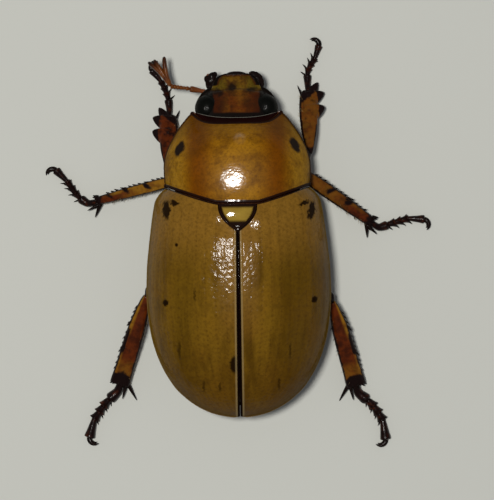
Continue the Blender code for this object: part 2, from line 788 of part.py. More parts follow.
def femur(name, leg):
    """The thigh, flat and spindle-shaped, from beside the coxa to the knee."""
    pair = leg["pair"]
    wide, high = FEMUR_HALF[pair]
    x, y = HIP_PLACE[pair]
    hip = Vector((x * leg["side"], y, underside_z(x, y) - GAP - high - 0.15))
    knee = Vector(leg["knee"])
    path = [hip.lerp(knee, share) for share, _, _ in FEMUR_GROW]
    sizes = [(wide * w, high * h) for _, w, h in FEMUR_GROW]
    made = tube(name, path, sizes, "leg")
    smooth(made)
    return made


def tibia_frame(leg):
    """The start, the end, and the directions along, out and over a tibia."""
    knee, ankle = Vector(leg["knee"]), Vector(leg["ankle"])
    along = (ankle - knee).normalized()
    start = knee + along * (KNEE_REACH[leg["pair"]] + GAP)
    out = along.cross(Vector((0, 0, 1))).normalized() * leg["hook"]
    over = Vector((0, 0, 1)) - along * along.z
    return start, ankle, along, out, over.normalized()


def tibia(name, leg):
    """The shin: teeth on the fore pair, rows of spines on the others."""
    pair = leg["pair"]
    wide, high = leg["shin"]
    start, end, along, out, over = tibia_frame(leg)
    path = [start.lerp(end, s) for s in TIBIA_SHARES]
    sizes = [(wide * g, high * (0.9 if g < 0.8 else 1.0)) for g in TIBIA_GROW[pair]]
    body = tube(name, path, sizes, "leg")
    if pair == "fore":
        spines = fore_teeth(end, along, out, wide)
    else:
        spines = row_spines(name, start, end, along, out, over, wide, high, SPUR_TIPS[pair])
    fuse(body, spines)
    smooth(body)
    return body


def fore_teeth(end, along, out, wide):
    """Three teeth on the outer edge and one spur on the inner."""
    made = []
    for back, reach, lean in FORE_TEETH:
        place = end - along * back
        root = place + out * wide * 0.55
        made.append(spine(root, place + out * reach + along * lean, TOOTH_RADIUS, sides=6))
    root = end - along * 0.5 - out * wide * 0.6
    made.append(spine(root, root - out * 0.4 + along * 0.95, SPUR_RADIUS))
    return made


def row_spines(name, start, end, along, out, over, wide, high, tips):
    """Two slanting rows of spines, a comb at the end and a pair of spurs."""
    draw = random.Random(name)
    made = []
    for share, count, reach in SPINE_ROWS:
        place = start.lerp(end, share)
        for i in range(count):
            angle = math.pi * (i + 0.5) / count - math.pi * 0.12
            away = (out * math.cos(angle) + over * math.sin(angle)).normalized()
            root = place + out * math.cos(angle) * wide * 0.55 + over * math.sin(angle) * high * 0.55
            length = reach * draw.uniform(0.8, 1.15)
            made.append(spine(root, root + away * (length + 0.2) + along * length * 0.9))
    for ahead, inward, lift in tips:
        root = start.lerp(end, 0.93) - out * wide * 0.4
        tip = end + along * ahead - out * inward + over * lift
        tip.z = max(tip.z, 0.15)
        made.append(spine(root, tip, SPUR_RADIUS))
    return made


def tarsus_path(leg):
    """Points and headings along the foot, from the ankle to the claws."""
    end, shin = tibia_frame(leg)[1:3]
    headings = [math.radians(angle) for angle in leg["headings"]]
    here = end + shin * (GAP + 0.35)
    here.z = 0.42
    places = [here.copy()]
    done = 0.0
    for share, heading in zip(SEGMENT_SHARES, headings):
        done += share
        step = leg["length"] * share
        here = here + Vector((math.cos(heading), math.sin(heading), 0.0)) * step
        here.z = 0.24 if done < 0.7 else 0.3
        places.append(here.copy())
    return places, [headings[0]] + headings


def tarsus(name, leg):
    """The foot: five joints with spines below, resting on flats, and two claws."""
    places, headings = tarsus_path(leg)
    shin = tibia_frame(leg)[2]
    path = [Vector(leg["ankle"]) + shin * GAP, Vector(leg["ankle"]) + shin * (GAP + 0.2)]
    narrow, wide = FOOT_NARROW[leg["pair"]], FOOT_WIDE[leg["pair"]]
    sizes = [(narrow, narrow)] * 2
    for i in range(len(places) - 1):
        a, b = places[i], places[i + 1]
        for share, radius in ((0.05, narrow), (0.7, wide), (0.93, wide)):
            path.append(a.lerp(b, share))
            sizes.append((radius * 0.95, radius))
    body = tube(name, path, sizes, "leg", TARSUS_SIDES, turn=0.0)
    flatten(body)
    pieces = tarsus_spines(places, headings, leg["hook"])
    pieces += claws(places[-1], headings[-1], leg["hook"])
    fuse(body, pieces)
    smooth(body)
    return body


def flatten(body):
    """Press what lies below the floor up to it, which makes small flats."""
    for vert in body.data.vertices:
        vert.co.z = max(vert.co.z, 0.0)


def tarsus_spines(places, headings, hook):
    """A pair of spines at the end of each of the first four joints."""
    made = []
    for i in range(1, len(places) - 1):
        side = Vector((-math.sin(headings[i]), math.cos(headings[i]), 0.0)) * hook
        along = Vector((math.cos(headings[i]), math.sin(headings[i]), 0.0))
        for lift, reach in ((0.06, 0.62), (0.24, 0.5)):
            root = places[i] - along * 0.12 + Vector((0, 0, lift - 0.1))
            tip = root + side * reach + along * 0.3 + Vector((0, 0, -0.02 + lift * 0.5))
            tip.z = max(tip.z, 0.08)
            made.append(spine(root, tip, 0.1))
    return made


def claws(end, heading, hook):
    """Two curved claws, one above the other, that hook to one side."""
    made = []
    for rise, length in ((0.12, CLAW_LENGTH), (-0.08, CLAW_LENGTH * 0.85)):
        here = end - Vector((math.cos(heading), math.sin(heading), 0.0)) * 0.15
        path = [here]
        steps = 5
        for i in range(steps):
            angle = heading + hook * math.radians(12 + 27 * i)
            step = length / steps
            here = here + Vector((math.cos(angle) * step, math.sin(angle) * step, rise / steps))
            path.append(here)
        taper = (1.0, 1.0, 0.9, 0.75, 0.5, 0.0)
        sizes = [(CLAW_RADIUS * t, CLAW_RADIUS * t) for t in taper]
        made.append(tube("claw", path, sizes, "dark", 4, point=True))
    return made


def build_legs():
    """Four named pieces for each of the six legs."""
    for name, leg in LEGS.items():
        coxa(name + "_coxa", leg)
        femur(name + "_femur", leg)
        tibia(name + "_tibia", leg)
        tarsus(name + "_tarsus", leg)


def build_head(collar):
    """The head and all that grows on it, with room for the eyes in the collar behind."""
    skull = head()
    for side, word in ((1, "left"), (-1, "right")):
        orb = eye("eye_" + word, side)
        subtract(skull, grown_copy(orb, EYE_GAP))
        subtract(collar, grown_copy(orb, EYE_GAP))
        mandible("mandible_" + word, side)
        palp("palp_" + word, side)
    smooth(skull)
    smooth(collar)
    for word in FEELERS:
        antenna("antenna_" + word, FEELERS[word])
        club("antenna_club_" + word, *CLUBS[word])


def main():
    """Build every part."""
    clear_scene()
    collar = prothorax()
    scutellum()
    thorax()
    abdomen()
    pygidium()
    elytron("elytron_left", 1)
    elytron("elytron_right", -1)
    build_head(collar)
    build_legs()


main()
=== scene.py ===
"""The looks of a grapevine beetle that stands still with its head toward -Y.

Shapes are worked out in millimetres and become metres when a mesh is made.
The beetle's left is +X, the floor is z = 0, and the body's axis is x = 0.
"""
import math
import random

import bpy
import numpy as np
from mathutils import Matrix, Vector, noise


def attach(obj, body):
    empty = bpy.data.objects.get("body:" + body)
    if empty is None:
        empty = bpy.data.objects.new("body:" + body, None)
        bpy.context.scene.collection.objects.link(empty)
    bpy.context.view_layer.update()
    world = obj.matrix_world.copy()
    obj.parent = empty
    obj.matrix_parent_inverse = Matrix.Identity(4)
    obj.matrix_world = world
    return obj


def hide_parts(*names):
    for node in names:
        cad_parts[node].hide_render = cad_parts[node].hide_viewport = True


MM = 0.001
SIDES = {"left": 1, "right": -1}

# Elytra: outline from above, and heights of the top line and the side margin
SHOULDER_Y = -3.65
APEX_Y = 12.2
WIDEST_Y = 3.0
ELYTRA_HALF = 6.42
SHOULDER_HALF = 5.62
PEAK_Y = 1.0
PEAK_Z = 10.0
BASE_DROP = 0.55
MARGIN_Z = 4.3
DOME_SQUARE = 2.4
ELYTRON_TURN = math.radians(104.0)
ELYTRON_BUNCH = 1.12
ELYTRON_GRID = (190, 330)
ELYTRON_THICK = 0.3
SEAM = 0.07
SUTURE_HALF = 0.03
STRIAE = 13

# Patches beside the scutellum that catch the light: place, radii and tilt
SCUTELLUM_GLINTS = {"left": ((1.15, -1.6), (0.5, 0.6), (0.0, -0.36)),
                    "right": ((1.05, -1.35), (0.65, 0.7), (0.13, -0.36))}

# Prothorax
PRONOTUM_FRONT_Y = -8.3
PRONOTUM_ANGLE_Y = -9.15
PRONOTUM_REAR_Y = -2.72
PRONOTUM_CORNER_Y = -3.95
PRONOTUM_HALF = 5.08
PRONOTUM_ANGLE_HALF = 3.05
PRONOTUM_PEAK_Y = -4.4
PRONOTUM_PEAK_Z = 9.5
PRONOTUM_MARGIN_Z = 4.55
PROTHORAX_SQUARE = 2.05
PROTHORAX_GRID = (420, 150)
FRONT_BEND = 5.0
HEAD_RECESS = 0.85
RECESS_WALL = 0.3
COLLAR_Y = -8.74

# Scutellum
SCUTELLUM_TIP_Y = -0.78
SCUTELLUM_HALF = 1.28

# Thorax and abdomen under the elytra
CORE_INSET = 0.75
BODY_SQUARE = 2.2
THORAX_REAR_Y = 1.7
ABDOMEN_END_Y = 11.45
BELLY_Z = 2.2
STERNITES = 6
STERNITE_EDGES = np.linspace(THORAX_REAR_Y, ABDOMEN_END_Y - 1.25, STERNITES + 1)
PYGIDIUM_Z = (5.6, 2.98)

# Head: y, half width, height of its sides, top, bottom, and squareness of the section
HEAD_STATIONS = (
    (-11.9, 0.8, 3.86, 4.02, 3.72, 2.4), (-11.7, 1.3, 3.84, 4.08, 3.62, 2.5),
    (-11.3, 1.58, 3.85, 4.2, 3.45, 2.6), (-10.85, 1.76, 3.9, 4.4, 2.75, 2.5),
    (-10.45, 2.1, 4.0, 4.66, 2.3, 2.4), (-9.9, 2.38, 4.2, 5.04, 2.2, 2.3),
    (-9.2, 2.4, 4.4, 5.42, 2.45, 2.2), (-8.65, 2.2, 4.5, 5.66, 3.1, 2.2),
    (-8.1, 1.85, 4.6, 5.68, 3.5, 2.2), (-7.8, 1.6, 4.6, 5.58, 3.7, 2.2))
EYE_RADII = (0.86, 0.94, 0.8)
EYE_PLACE = (2.06, -9.46, 4.42)
CHEEK_PATH = ((1.7, -10.7, 3.95), (2.05, -10.5, 4.02), (2.4, -10.2, 4.1), (2.7, -9.88, 4.2),
              (2.88, -9.5, 4.3))
CHEEK_SIZES = ((0.3, 0.22), (0.3, 0.17), (0.24, 0.13), (0.13, 0.08), (0.03, 0.03))

# Mouth: paths and sizes of the lip and the chin, the blade and the outer tooth of each jaw, and the palps
LIP_PATH = ((-1.0, -11.55, 3.42), (-0.5, -11.78, 3.4), (0.0, -11.84, 3.4), (0.5, -11.78, 3.4),
            (1.0, -11.55, 3.42))
LIP_SIZES = ((0.12, 0.1), (0.24, 0.15), (0.26, 0.17), (0.24, 0.15), (0.12, 0.1))
CHIN_PATH = ((0.0, -11.35, 2.75), (0.0, -11.05, 2.5), (0.0, -10.5, 2.22), (0.0, -9.9, 2.12),
             (0.0, -9.5, 2.25))
CHIN_SIZES = ((0.35, 0.12), (0.62, 0.2), (0.68, 0.2), (0.6, 0.18), (0.3, 0.1))
JAWS = {
    "left": (((1.35, -10.75, 2.85), (1.68, -11.1, 3.02), (1.78, -11.45, 3.16), (1.62, -11.8, 3.24),
              (1.34, -11.98, 3.26)),
             ((1.72, -11.15, 3.1), (1.95, -11.45, 3.18), (2.06, -11.7, 3.22), (2.02, -11.84, 3.24))),
    "right": (((-1.3, -10.85, 2.75), (-1.56, -11.15, 2.95), (-1.52, -11.5, 3.08), (-1.28, -11.84, 3.14),
               (-0.9, -12.02, 3.16)),
              ((-1.5, -11.3, 3.0), (-1.62, -11.55, 3.08), (-1.42, -11.86, 3.12), (-1.28, -11.98, 3.12))),
}
JAW_SIZES = ((0.34, 0.34), (0.42, 0.32), (0.4, 0.28), (0.3, 0.2), (0.08, 0.06))
TOOTH_SIZES = ((0.24, 0.2), (0.27, 0.2), (0.2, 0.14), (0.04, 0.04))
OUTER_PALPS = {
    "left": ((0.85, -10.5, 2.25), (1.15, -10.72, 1.95), (1.5, -11.02, 1.85), (1.78, -11.4, 1.95),
             (2.02, -12.02, 2.15)),
    "right": ((0.85, -10.5, 2.25), (1.1, -10.72, 1.9), (1.38, -11.02, 1.75), (1.52, -11.36, 1.78),
              (1.46, -11.86, 1.88)),
}
INNER_PALP = ((0.3, -11.0, 2.3), (0.42, -11.25, 2.12), (0.58, -11.5, 2.1), (0.68, -11.85, 2.18))

# Feelers: the root, the end of the first joint and the end of the short joints
FEELERS = {
    "left": ((2.22, -10.7, 3.3), (3.3, -10.9, 3.52), (4.62, -11.08, 3.6)),
    "right": ((-2.2, -10.65, 2.95), (-2.5, -9.85, 2.35), (-2.26, -8.62, 1.93)),
}
FEELER_JOINTS = 6
FEELER_UP = (0.1, 0.2, 0.97)
CLUB_TIPS = {
    "left": ((6.2, -12.82, 3.48), (5.78, -12.97, 3.6), (5.06, -13.18, 3.72)),
    "right": ((-2.45, -6.9, 1.6), (-2.5, -6.85, 1.83), (-2.55, -6.9, 2.06)),
}
CLUB_OVER = {"left": (0.0, 0.0, 1.0), "right": (1.0, 0.1, 0.0)}

# Each leg: knee, ankle, the shin's half width and half height, and the foot by the headings of its
# joints in degrees and its length
LEG_ROWS = {
    "foreleg_left": ((4.92, -5.3, 2.95), (4.84, -9.15, 0.72), (0.64, 0.24), (276, 287, 292, 297, 309), 3.1),
    "foreleg_right": ((-5.15, -6.15, 2.95), (-5.1, -10.8, 0.72), (0.64, 0.24),
                      (270, 256, 238, 236, 252), 2.9),
    "midleg_left": ((4.3, -4.5, 2.65), (10.12, -3.1, 0.7), (0.4, 0.32), (326, 312, 303, 305, 314), 3.4),
    "midleg_right": ((-4.5, -4.95, 2.65), (-9.55, -1.35, 0.7), (0.49, 0.32), (196, 195, 197, 196, 176), 3.4),
    "hindleg_left": ((6.5, 3.55, 2.95), (8.6, 9.95, 0.72), (0.68, 0.38), (42, 51, 54, 55, 74), 4.0),
    "hindleg_right": ((-6.6, 4.15, 2.95), (-8.3, 10.25, 0.72), (0.68, 0.38), (141, 131, 126, 119, 98), 4.1),
}
SHIN_STOPS = (0.02, 0.06, 0.12, 0.2, 0.35, 0.6, 0.82, 0.95, 1.0)
SHIN_GROW = {"fore": (0.25, 0.4, 0.5, 0.62, 0.85, 1.02, 1.0, 0.85, 0.6),
             "mid": (0.6, 0.82, 0.92, 1.0, 1.04, 0.98, 0.86, 0.78, 0.7),
             "hind": (0.3, 0.46, 0.58, 0.72, 0.9, 0.98, 1.0, 1.06, 1.06)}
COXA_PLACE = {"fore": (1.35, -6.35), "mid": (1.55, -2.1), "hind": (1.9, 0.55)}
HIP_PLACE = {"fore": (2.75, -6.1), "mid": (2.65, -3.2), "hind": (1.75, 2.35)}
COXA_SIZE = {"fore": (0.8, 0.75), "mid": (0.9, 0.7), "hind": (1.4, 0.62)}
FEMUR_HALF = {"fore": (0.6, 0.4), "mid": (0.66, 0.4), "hind": (1.0, 0.44)}
FEMUR_STOPS = (-0.02, 0.0, 0.06, 0.2, 0.4, 0.65, 0.86, 0.95, 1.0, 1.03)
FEMUR_GROW = ((0.1, 0.1), (0.4, 0.5), (0.68, 0.8), (0.92, 1.0), (1.0, 1.0), (0.9, 0.98), (0.64, 0.85),
              (0.54, 0.8), (0.4, 0.6), (0.05, 0.1))
SPUR_TIPS = {"mid": ((0.4, 1.1, 0.0), (0.7, 0.5, 0.35)), "hind": ((0.85, 1.5, 0.0), (0.95, 0.5, 0.35))}
FOOT_RADIUS = {"fore": 0.25, "mid": 0.28, "hind": 0.35}
FOOT_SHARES = (0.22, 0.15, 0.14, 0.14, 0.35)
FOOT_STOPS = (-0.04, 0.0, 0.12, 0.3, 0.6, 0.84, 0.95, 1.0)
FOOT_GROW = (0.3, 0.6, 0.68, 0.76, 0.92, 1.12, 1.1, 0.4)
FOOT_END_GROW = (0.3, 0.54, 0.62, 0.72, 0.88, 1.06, 1.02, 0.4)
CLAW_LENGTH = 1.05
CLAW_STEPS = 7

# Hair: how many bristles, and their half thickness
HAIR_SEED = 7
BREAST_HAIRS = 1500
SHIN_HAIRS = 90
PLATE_HAIRS = 60
MOUTH_HAIRS = 110
HAIR_RADIUS = 0.012
BREAST_HAIR_RADIUS = 0.014

# The camera looks straight down from above the photo's middle
CAMERA_PLACE = (-0.612, 0.525, 200.0)
CAMERA_TURN = math.radians(179.28)
CAMERA_LENS = 200.56
SENSOR = 36.0
CLIP_START = 0.005

# Lights: place, size, power and colour, then the sky and the floor
LAMPS = {
    "flash": ((22.0, -7.0, 230.0), 26.0, 0.37, (1.0, 0.97, 0.92)),
    "fill_left": ((280.0, -150.0, 80.0), 260.0, 0.02, (1.0, 0.98, 0.96)),
    "fill_right": ((-280.0, 150.0, 80.0), 260.0, 0.02, (0.97, 0.98, 1.0)),
}
LAMP_AIM = (0, 0, 4)
SKY = (0.9, 0.93, 1.0, 1.0)
SKY_POWER = 0.15
FLOOR_REACH = 1.2
FLOOR_COLOUR = (0.63, 0.645, 0.605)

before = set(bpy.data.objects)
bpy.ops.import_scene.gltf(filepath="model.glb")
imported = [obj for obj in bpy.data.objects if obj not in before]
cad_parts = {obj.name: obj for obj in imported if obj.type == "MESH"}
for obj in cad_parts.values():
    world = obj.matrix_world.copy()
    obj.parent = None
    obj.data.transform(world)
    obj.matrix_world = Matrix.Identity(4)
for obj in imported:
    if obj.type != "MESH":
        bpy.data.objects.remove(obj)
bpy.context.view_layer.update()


# Meshes

def ramp(value, low, high):
    """The share of the way from low to high, kept from 0 to 1."""
    return np.clip((value - low) / (high - low), 0.0, 1.0)


def step(value, low, high):
    """A smooth step from 0 at low to 1 at high."""
    share = ramp(value, low, high)
    return share * share * (3.0 - 2.0 * share)


def ridge(distance, width):
    """A smooth ridge, 1 at a distance of nought."""
    return np.exp(-(distance / width) ** 2)


def unit(vectors):
    """Vectors of length one."""
    return vectors / np.maximum(np.linalg.norm(vectors, axis=-1, keepdims=True), 1e-9)


def circle(sides):
    """Angles once round, as a row."""
    return np.linspace(0.0, 2.0 * math.pi, sides, endpoint=False)[None, :]


def oval(turn, square):
    """Places across and up on a squared oval."""
    return [np.sign(way) * np.abs(way) ** (2.0 / square) for way in (np.cos(turn), np.sin(turn))]


def grid_shares(rows, columns, low=0.0):
    """Shares from 0 to 1 down a grid, and from low to 1 across it."""
    return np.linspace(0.0, 1.0, rows)[:, None], np.linspace(low, 1.0, columns)[None, :]


def line(start, end, stops):
    """Points on the way from start to end."""
    return [start + (end - start) * stop for stop in stops]


def heading_way(heading):
    """A level direction."""
    return np.array([math.cos(heading), math.sin(heading), 0.0])


def grid_quads(rows, columns, wrap=False):
    """Quads of a grid of points, closed round its columns where it wraps."""
    across = columns if wrap else columns - 1
    row, column = np.meshgrid(np.arange(rows - 1), np.arange(across), indexing="ij")
    after = (column + 1) % columns
    a, b = row * columns, (row + 1) * columns
    return np.stack([a + column, a + after, b + after, b + column], axis=-1).reshape(-1, 4)


def volume(points, faces):
    """The signed volume inside a closed mesh."""
    total = 0.0
    for block in faces:
        for i in range(1, block.shape[1] - 1):
            a, b, c = points[block[:, 0]], points[block[:, i]], points[block[:, i + 1]]
            total += np.einsum("ij,ij->", a, np.cross(b, c))
    return total / 6.0


def closed(points, *faces):
    """A closed form as points and face blocks, facing out."""
    points = np.asarray(points, float).reshape(-1, 3)
    blocks = [np.asarray(block, int) for block in faces]
    if volume(points - points.mean(axis=0), blocks) < 0.0:
        blocks = [block[:, ::-1] for block in blocks]
    return points, blocks


def loft(rings, first=None, last=None):
    """A closed form through rings of points, with a point in the middle of each end."""
    rings = np.asarray(rings, float)
    rows, columns = rings.shape[:2]
    first = rings[0].mean(axis=0) if first is None else first
    last = rings[-1].mean(axis=0) if last is None else last
    points = np.vstack([rings.reshape(-1, 3), first, last])
    rim = np.arange(columns)
    after = (rim + 1) % columns
    end = (rows - 1) * columns
    ends = np.vstack([np.stack([after, rim, np.full(columns, len(points) - 2)], axis=1),
                      np.stack([end + rim, end + after, np.full(columns, len(points) - 1)], axis=1)])
    return closed(points, grid_quads(rows, columns, True), ends)


def grid_normals(grid):
    """Normals of a grid of points."""
    return unit(np.cross(np.gradient(grid, axis=1), np.gradient(grid, axis=0)))


def shell(outer, inner, jump=3):
    """A thin closed plate: a grid of points, and a coarser pick of the one behind it."""
    rows, columns = outer.shape[:2]
    picks = [sorted({*range(0, n, jump), n - 1}) for n in (rows, columns)]
    inner = inner[np.ix_(*picks)]
    front = np.arange(rows * columns).reshape(rows, columns)
    behind = front.size + np.arange(inner[..., 0].size).reshape(inner.shape[:2])
    back = grid_quads(*inner.shape[:2])[:, ::-1] + front.size
    rim = []
    for edge, near, far, flip in ((picks[1], front[0], behind[0], True),
                                  (picks[1], front[-1], behind[-1], False),
                                  (picks[0], front[:, 0], behind[:, 0], False),
                                  (picks[0], front[:, -1], behind[:, -1], True)):
        for i in range(len(edge) - 1):
            fine = near[edge[i]:edge[i + 1] + 1]
            turn = [(a, b, far[i]) for a, b in zip(fine, fine[1:])] + [(fine[-1], far[i + 1], far[i])]
            rim += [corners if flip else corners[::-1] for corners in turn]
    points = np.vstack([outer.reshape(-1, 3), inner.reshape(-1, 3)])
    return closed(points, grid_quads(rows, columns), back, np.array(rim))


def plate(grid, shift, squeeze=1.0, jump=3):
    """A plate with its back shifted, and squeezed toward the middle."""
    return shell(grid, (grid + np.array(shift)) * np.array([squeeze, 1.0, 1.0]), jump)


def refine(stations, parts):
    """Rows between the given ones, on a curve through them."""
    stations = np.asarray(stations, float)
    rows = []
    for i in range(len(stations) - 1):
        before, a, b = stations[max(i - 1, 0)], stations[i], stations[i + 1]
        after = stations[min(i + 2, len(stations) - 1)]
        for t in np.arange(parts) / parts:
            rows.append(0.5 * (2 * a + (b - before) * t + (2 * before - 5 * a + 4 * b - after) * t * t
                               + (3 * a - before - 3 * b + after) * t ** 3))
    rows.append(stations[-1])
    return np.array(rows)


def tube(path, sizes, sides=20, up=(0, 0, 1), square=2.0, parts=4):
    """A limb on a smooth curve, with a half width and half height at each of its stations."""
    sizes = np.asarray(sizes, float)
    if sizes.ndim == 1:
        sizes = np.stack([sizes, sizes], axis=1)
    rows = refine(np.hstack([np.asarray(path, float), sizes]), parts)
    path, sizes = rows[:, :3], np.maximum(rows[:, 3:], 0.0)
    ways = unit(np.gradient(path, axis=0))
    across = unit(np.cross(ways, np.asarray(up, float)))
    over = np.cross(across, ways)
    wide, high = oval(circle(sides), square)
    rings = (path[:, None] + across[:, None] * (sizes[:, :1] * wide)[..., None]
             + over[:, None] * (sizes[:, 1:] * high)[..., None])
    return loft(rings, path[0], path[-1])


def thorn(root, way, length, radius, bend=(0, 0, 0), sides=8):
    """A tapered spine that leaves its root along a way and bends a little."""
    way = unit(way)
    path = [root + way * length * s + np.array(bend) * length * s * s for s in (0.0, 0.35, 0.7, 0.92, 1.0)]
    guide = (0.31, 0.42, 0.85) if abs(way[2]) < 0.8 else (0.9, 0.3, 0.1)
    return tube(path, radius * np.array((1.0, 0.78, 0.48, 0.22, 0.05)), sides, guide, parts=2)


def ball(centre, radii, rings, sides):
    """A closed ellipsoid with its poles along x."""
    polar = np.linspace(0.0, math.pi, rings + 1)[1:-1, None]
    turn = circle(sides)
    grid = np.stack([np.cos(polar) + 0.0 * turn, np.sin(polar) * np.cos(turn),
                     np.sin(polar) * np.sin(turn)], axis=-1)
    reach = np.array([radii[0], 0.0, 0.0])
    return loft(grid * np.array(radii) + centre, centre + reach, centre - reach)


def add(name, data):
    """A new object in the scene."""
    made = bpy.data.objects.new(name, data)
    bpy.context.scene.collection.objects.link(made)
    return made


def raw_mesh(name, forms, scale):
    """A mesh data block from closed forms."""
    points, loops, starts, offset, count = [], [], [], 0, 0
    for places, blocks in forms:
        points.append(places)
        for block in blocks:
            loops.append((block + offset).ravel())
            starts.append(count + np.arange(len(block)) * block.shape[1])
            count += block.size
        offset += len(places)
    points, loops, starts = np.vstack(points) * scale, np.concatenate(loops), np.concatenate(starts)
    mesh = bpy.data.meshes.new(name)
    mesh.vertices.add(len(points))
    mesh.vertices.foreach_set("co", points.astype(np.float32).ravel())
    mesh.loops.add(len(loops))
    mesh.loops.foreach_set("vertex_index", loops.astype(np.int32))
    mesh.polygons.add(len(starts))
    mesh.polygons.foreach_set("loop_start", starts.astype(np.int32))
    mesh.update(calc_edges=True)
    mesh.validate()
    mesh.shade_smooth()
    return mesh


def melt(forms, voxel, rounds):
    """One skin round several closed forms, with its creases smoothed."""
    item = add("melt", raw_mesh("melt", forms, 1.0))
    skin = item.modifiers.new("skin", "REMESH")
    skin.mode = "VOXEL"
    skin.voxel_size = voxel
    relax = item.modifiers.new("relax", "SMOOTH")
    relax.factor = 0.5
    relax.iterations = rounds
    mesh = bpy.data.meshes.new_from_object(item.evaluated_get(bpy.context.evaluated_depsgraph_get()))
    points = np.empty(len(mesh.vertices) * 3)
    mesh.vertices.foreach_get("co", points)
    loops = np.empty(len(mesh.loops), int)
    mesh.loops.foreach_get("vertex_index", loops)
    starts = np.empty(len(mesh.polygons), int)
    mesh.polygons.foreach_get("loop_start", starts)
    totals = np.diff(np.append(starts, len(loops)))
    blocks = [loops[starts[totals == n][:, None] + np.arange(n)] for n in (3, 4) if (totals == n).any()]
    bpy.data.objects.remove(item)
    return points.reshape(-1, 3), blocks


def piece(name, forms, material, slot, *nodes):
    """A finished piece that rides on the body and takes the place of its nodes."""
    made = add(name, raw_mesh(name, forms, MM))
    made.data.materials.append(material)
    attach(made, "root")
    if nodes:
        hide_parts(*nodes)
    return made


def marks(item, **fields):
    """Numbers kept at each point of a piece, for its material."""
    for name, values in fields.items():
        values = np.asarray(values, np.float32).ravel()
        whole = np.zeros(len(item.data.vertices), np.float32)
        whole[:len(values)] = values
        item.data.attributes.new(name, "FLOAT", "POINT").data.foreach_set("value", whole)


# Surface relief

def scatter(cell_u, cell_v, seed):
    """A number from 0 to 1 for each cell of a lattice."""
    wave = np.sin(cell_u * 127.1 + cell_v * 311.7 + seed * 74.7) * 43758.5453
    return wave - np.floor(wave)


def pits(u, v, cell, radius, seed, chance=1.0):
    """Round dimples strewn over a surface, one or none in each cell."""
    near = np.full(np.shape(u), 9.0)
    base_u, base_v = np.floor(u / cell), np.floor(v / cell)
    for a in (-1, 0, 1):
        for b in (-1, 0, 1):
            cu, cv = base_u + a, base_v + b
            away = np.hypot(u - (cu + scatter(cu, cv, seed)) * cell,
                            v - (cv + scatter(cu, cv, seed + 1.3)) * cell)
            away[scatter(cu, cv, seed + 2.9) > chance] = 9.0
            near = np.minimum(near, away)
    return ridge(near, radius)


def ripple(grid, scale, seed=0.0):
    """Smooth noise from -1 to 1 over a grid of points."""
    flat = grid.reshape(-1, 3) / scale + seed
    return np.array([noise.noise(Vector(p)) for p in flat]).reshape(grid.shape[:-1])


def arc(grid, axis):
    """Distance along one way of a grid of points."""
    steps = np.linalg.norm(np.diff(grid, axis=axis), axis=-1)
    start = np.zeros_like(np.take(steps, [0], axis=axis))
    return np.concatenate([start, np.cumsum(steps, axis=axis)], axis=axis)


def bead(distance, height, width, groove=0.5):
    """A raised bead at a distance of nought with a groove beside it."""
    away = np.abs(distance)
    return height * ridge(away, width) - groove * height * ridge(away - 2.1 * width, 0.7 * width)


def swelling(grid, place, radii):
    """A smooth swelling round a place seen from above."""
    across = (grid[..., 0] - place[0]) / radii[0]
    along = (grid[..., 1] - place[1]) / radii[1]
    return np.exp(-across ** 2 - along ** 2)


def glint(grid, place, radii, tilt):
    """Relief that tilts a small patch round a place, so that it catches the light."""
    away = (grid[..., 0] - place[0]) * tilt[0] + (grid[..., 1] - place[1]) * tilt[1]
    return away * swelling(grid, place, radii)


# Shapes of the body

def arch(x, half, square):
    """Height of a squared arch, from 1 in the middle to 0 at its sides."""
    return (1.0 - np.clip(np.abs(x) / half, 0.0, 1.0) ** square) ** (1.0 / square)


def elytra_half(y, inset=0.0):
    """Half the width across both elytra."""
    half = ELYTRA_HALF - inset
    rear = half * (1.0 - ramp(y, WIDEST_Y, APEX_Y - inset) ** 2.4) ** (1.0 / 2.1)
    ahead = np.clip((WIDEST_Y - y) / (WIDEST_Y - SHOULDER_Y), 0.0, None)
    corner = np.clip((SHOULDER_Y + 0.9 - y) / 0.9, 0.0, None)
    front = half - (ELYTRA_HALF - SHOULDER_HALF) * ahead ** 1.6 - 0.45 * corner ** 2
    return np.where(y > WIDEST_Y, rear, front)


def elytra_margin(y):
    """Height of the elytra's side margin."""
    return MARGIN_Z + 0.35 * ((y - 2.0) / 10.0) ** 2


def elytra_top(y, inset=0.0):
    """Height of the line along the suture."""
    low = elytra_margin(y)
    rear = low + (PEAK_Z - inset - low) * (1.0 - ramp(y, PEAK_Y, APEX_Y - inset) ** 2.2) ** 0.5
    return np.where(y > PEAK_Y, rear, PEAK_Z - inset - BASE_DROP * ((PEAK_Y - y) / 3.4) ** 2)


def pronotum_rear(x):
    """The hind edge of the pronotum, with its broad middle lobe."""
    share = np.clip((np.abs(x) - 1.4) / (PRONOTUM_HALF - 1.4), 0.0, None)
    return PRONOTUM_REAR_Y + (PRONOTUM_CORNER_Y - PRONOTUM_REAR_Y) * share ** 1.15


def pronotum_half(y):
    """Half the width of the pronotum at its side margin."""
    share = ramp(y, PRONOTUM_ANGLE_Y, PRONOTUM_CORNER_Y)
    swell = np.sin(np.minimum(share * 1.32, 1.0) * math.pi / 2.0) ** 0.9
    tuck = 0.03 * np.clip(share - 0.8, 0.0, None) / 0.2
    return PRONOTUM_ANGLE_HALF + (PRONOTUM_HALF - PRONOTUM_ANGLE_HALF) * swell - tuck


def pronotum_top(y):
    """Height of the pronotum along the middle."""
    away = y - PRONOTUM_PEAK_Y
    return PRONOTUM_PEAK_Z - 0.1 * away ** 2 - 0.005 * away ** 4


def pronotum_front(near):
    """The front edge of the pronotum, from the middle at 0 to its angle at 1."""
    return PRONOTUM_FRONT_Y + (PRONOTUM_ANGLE_Y - PRONOTUM_FRONT_Y) * near ** FRONT_BEND


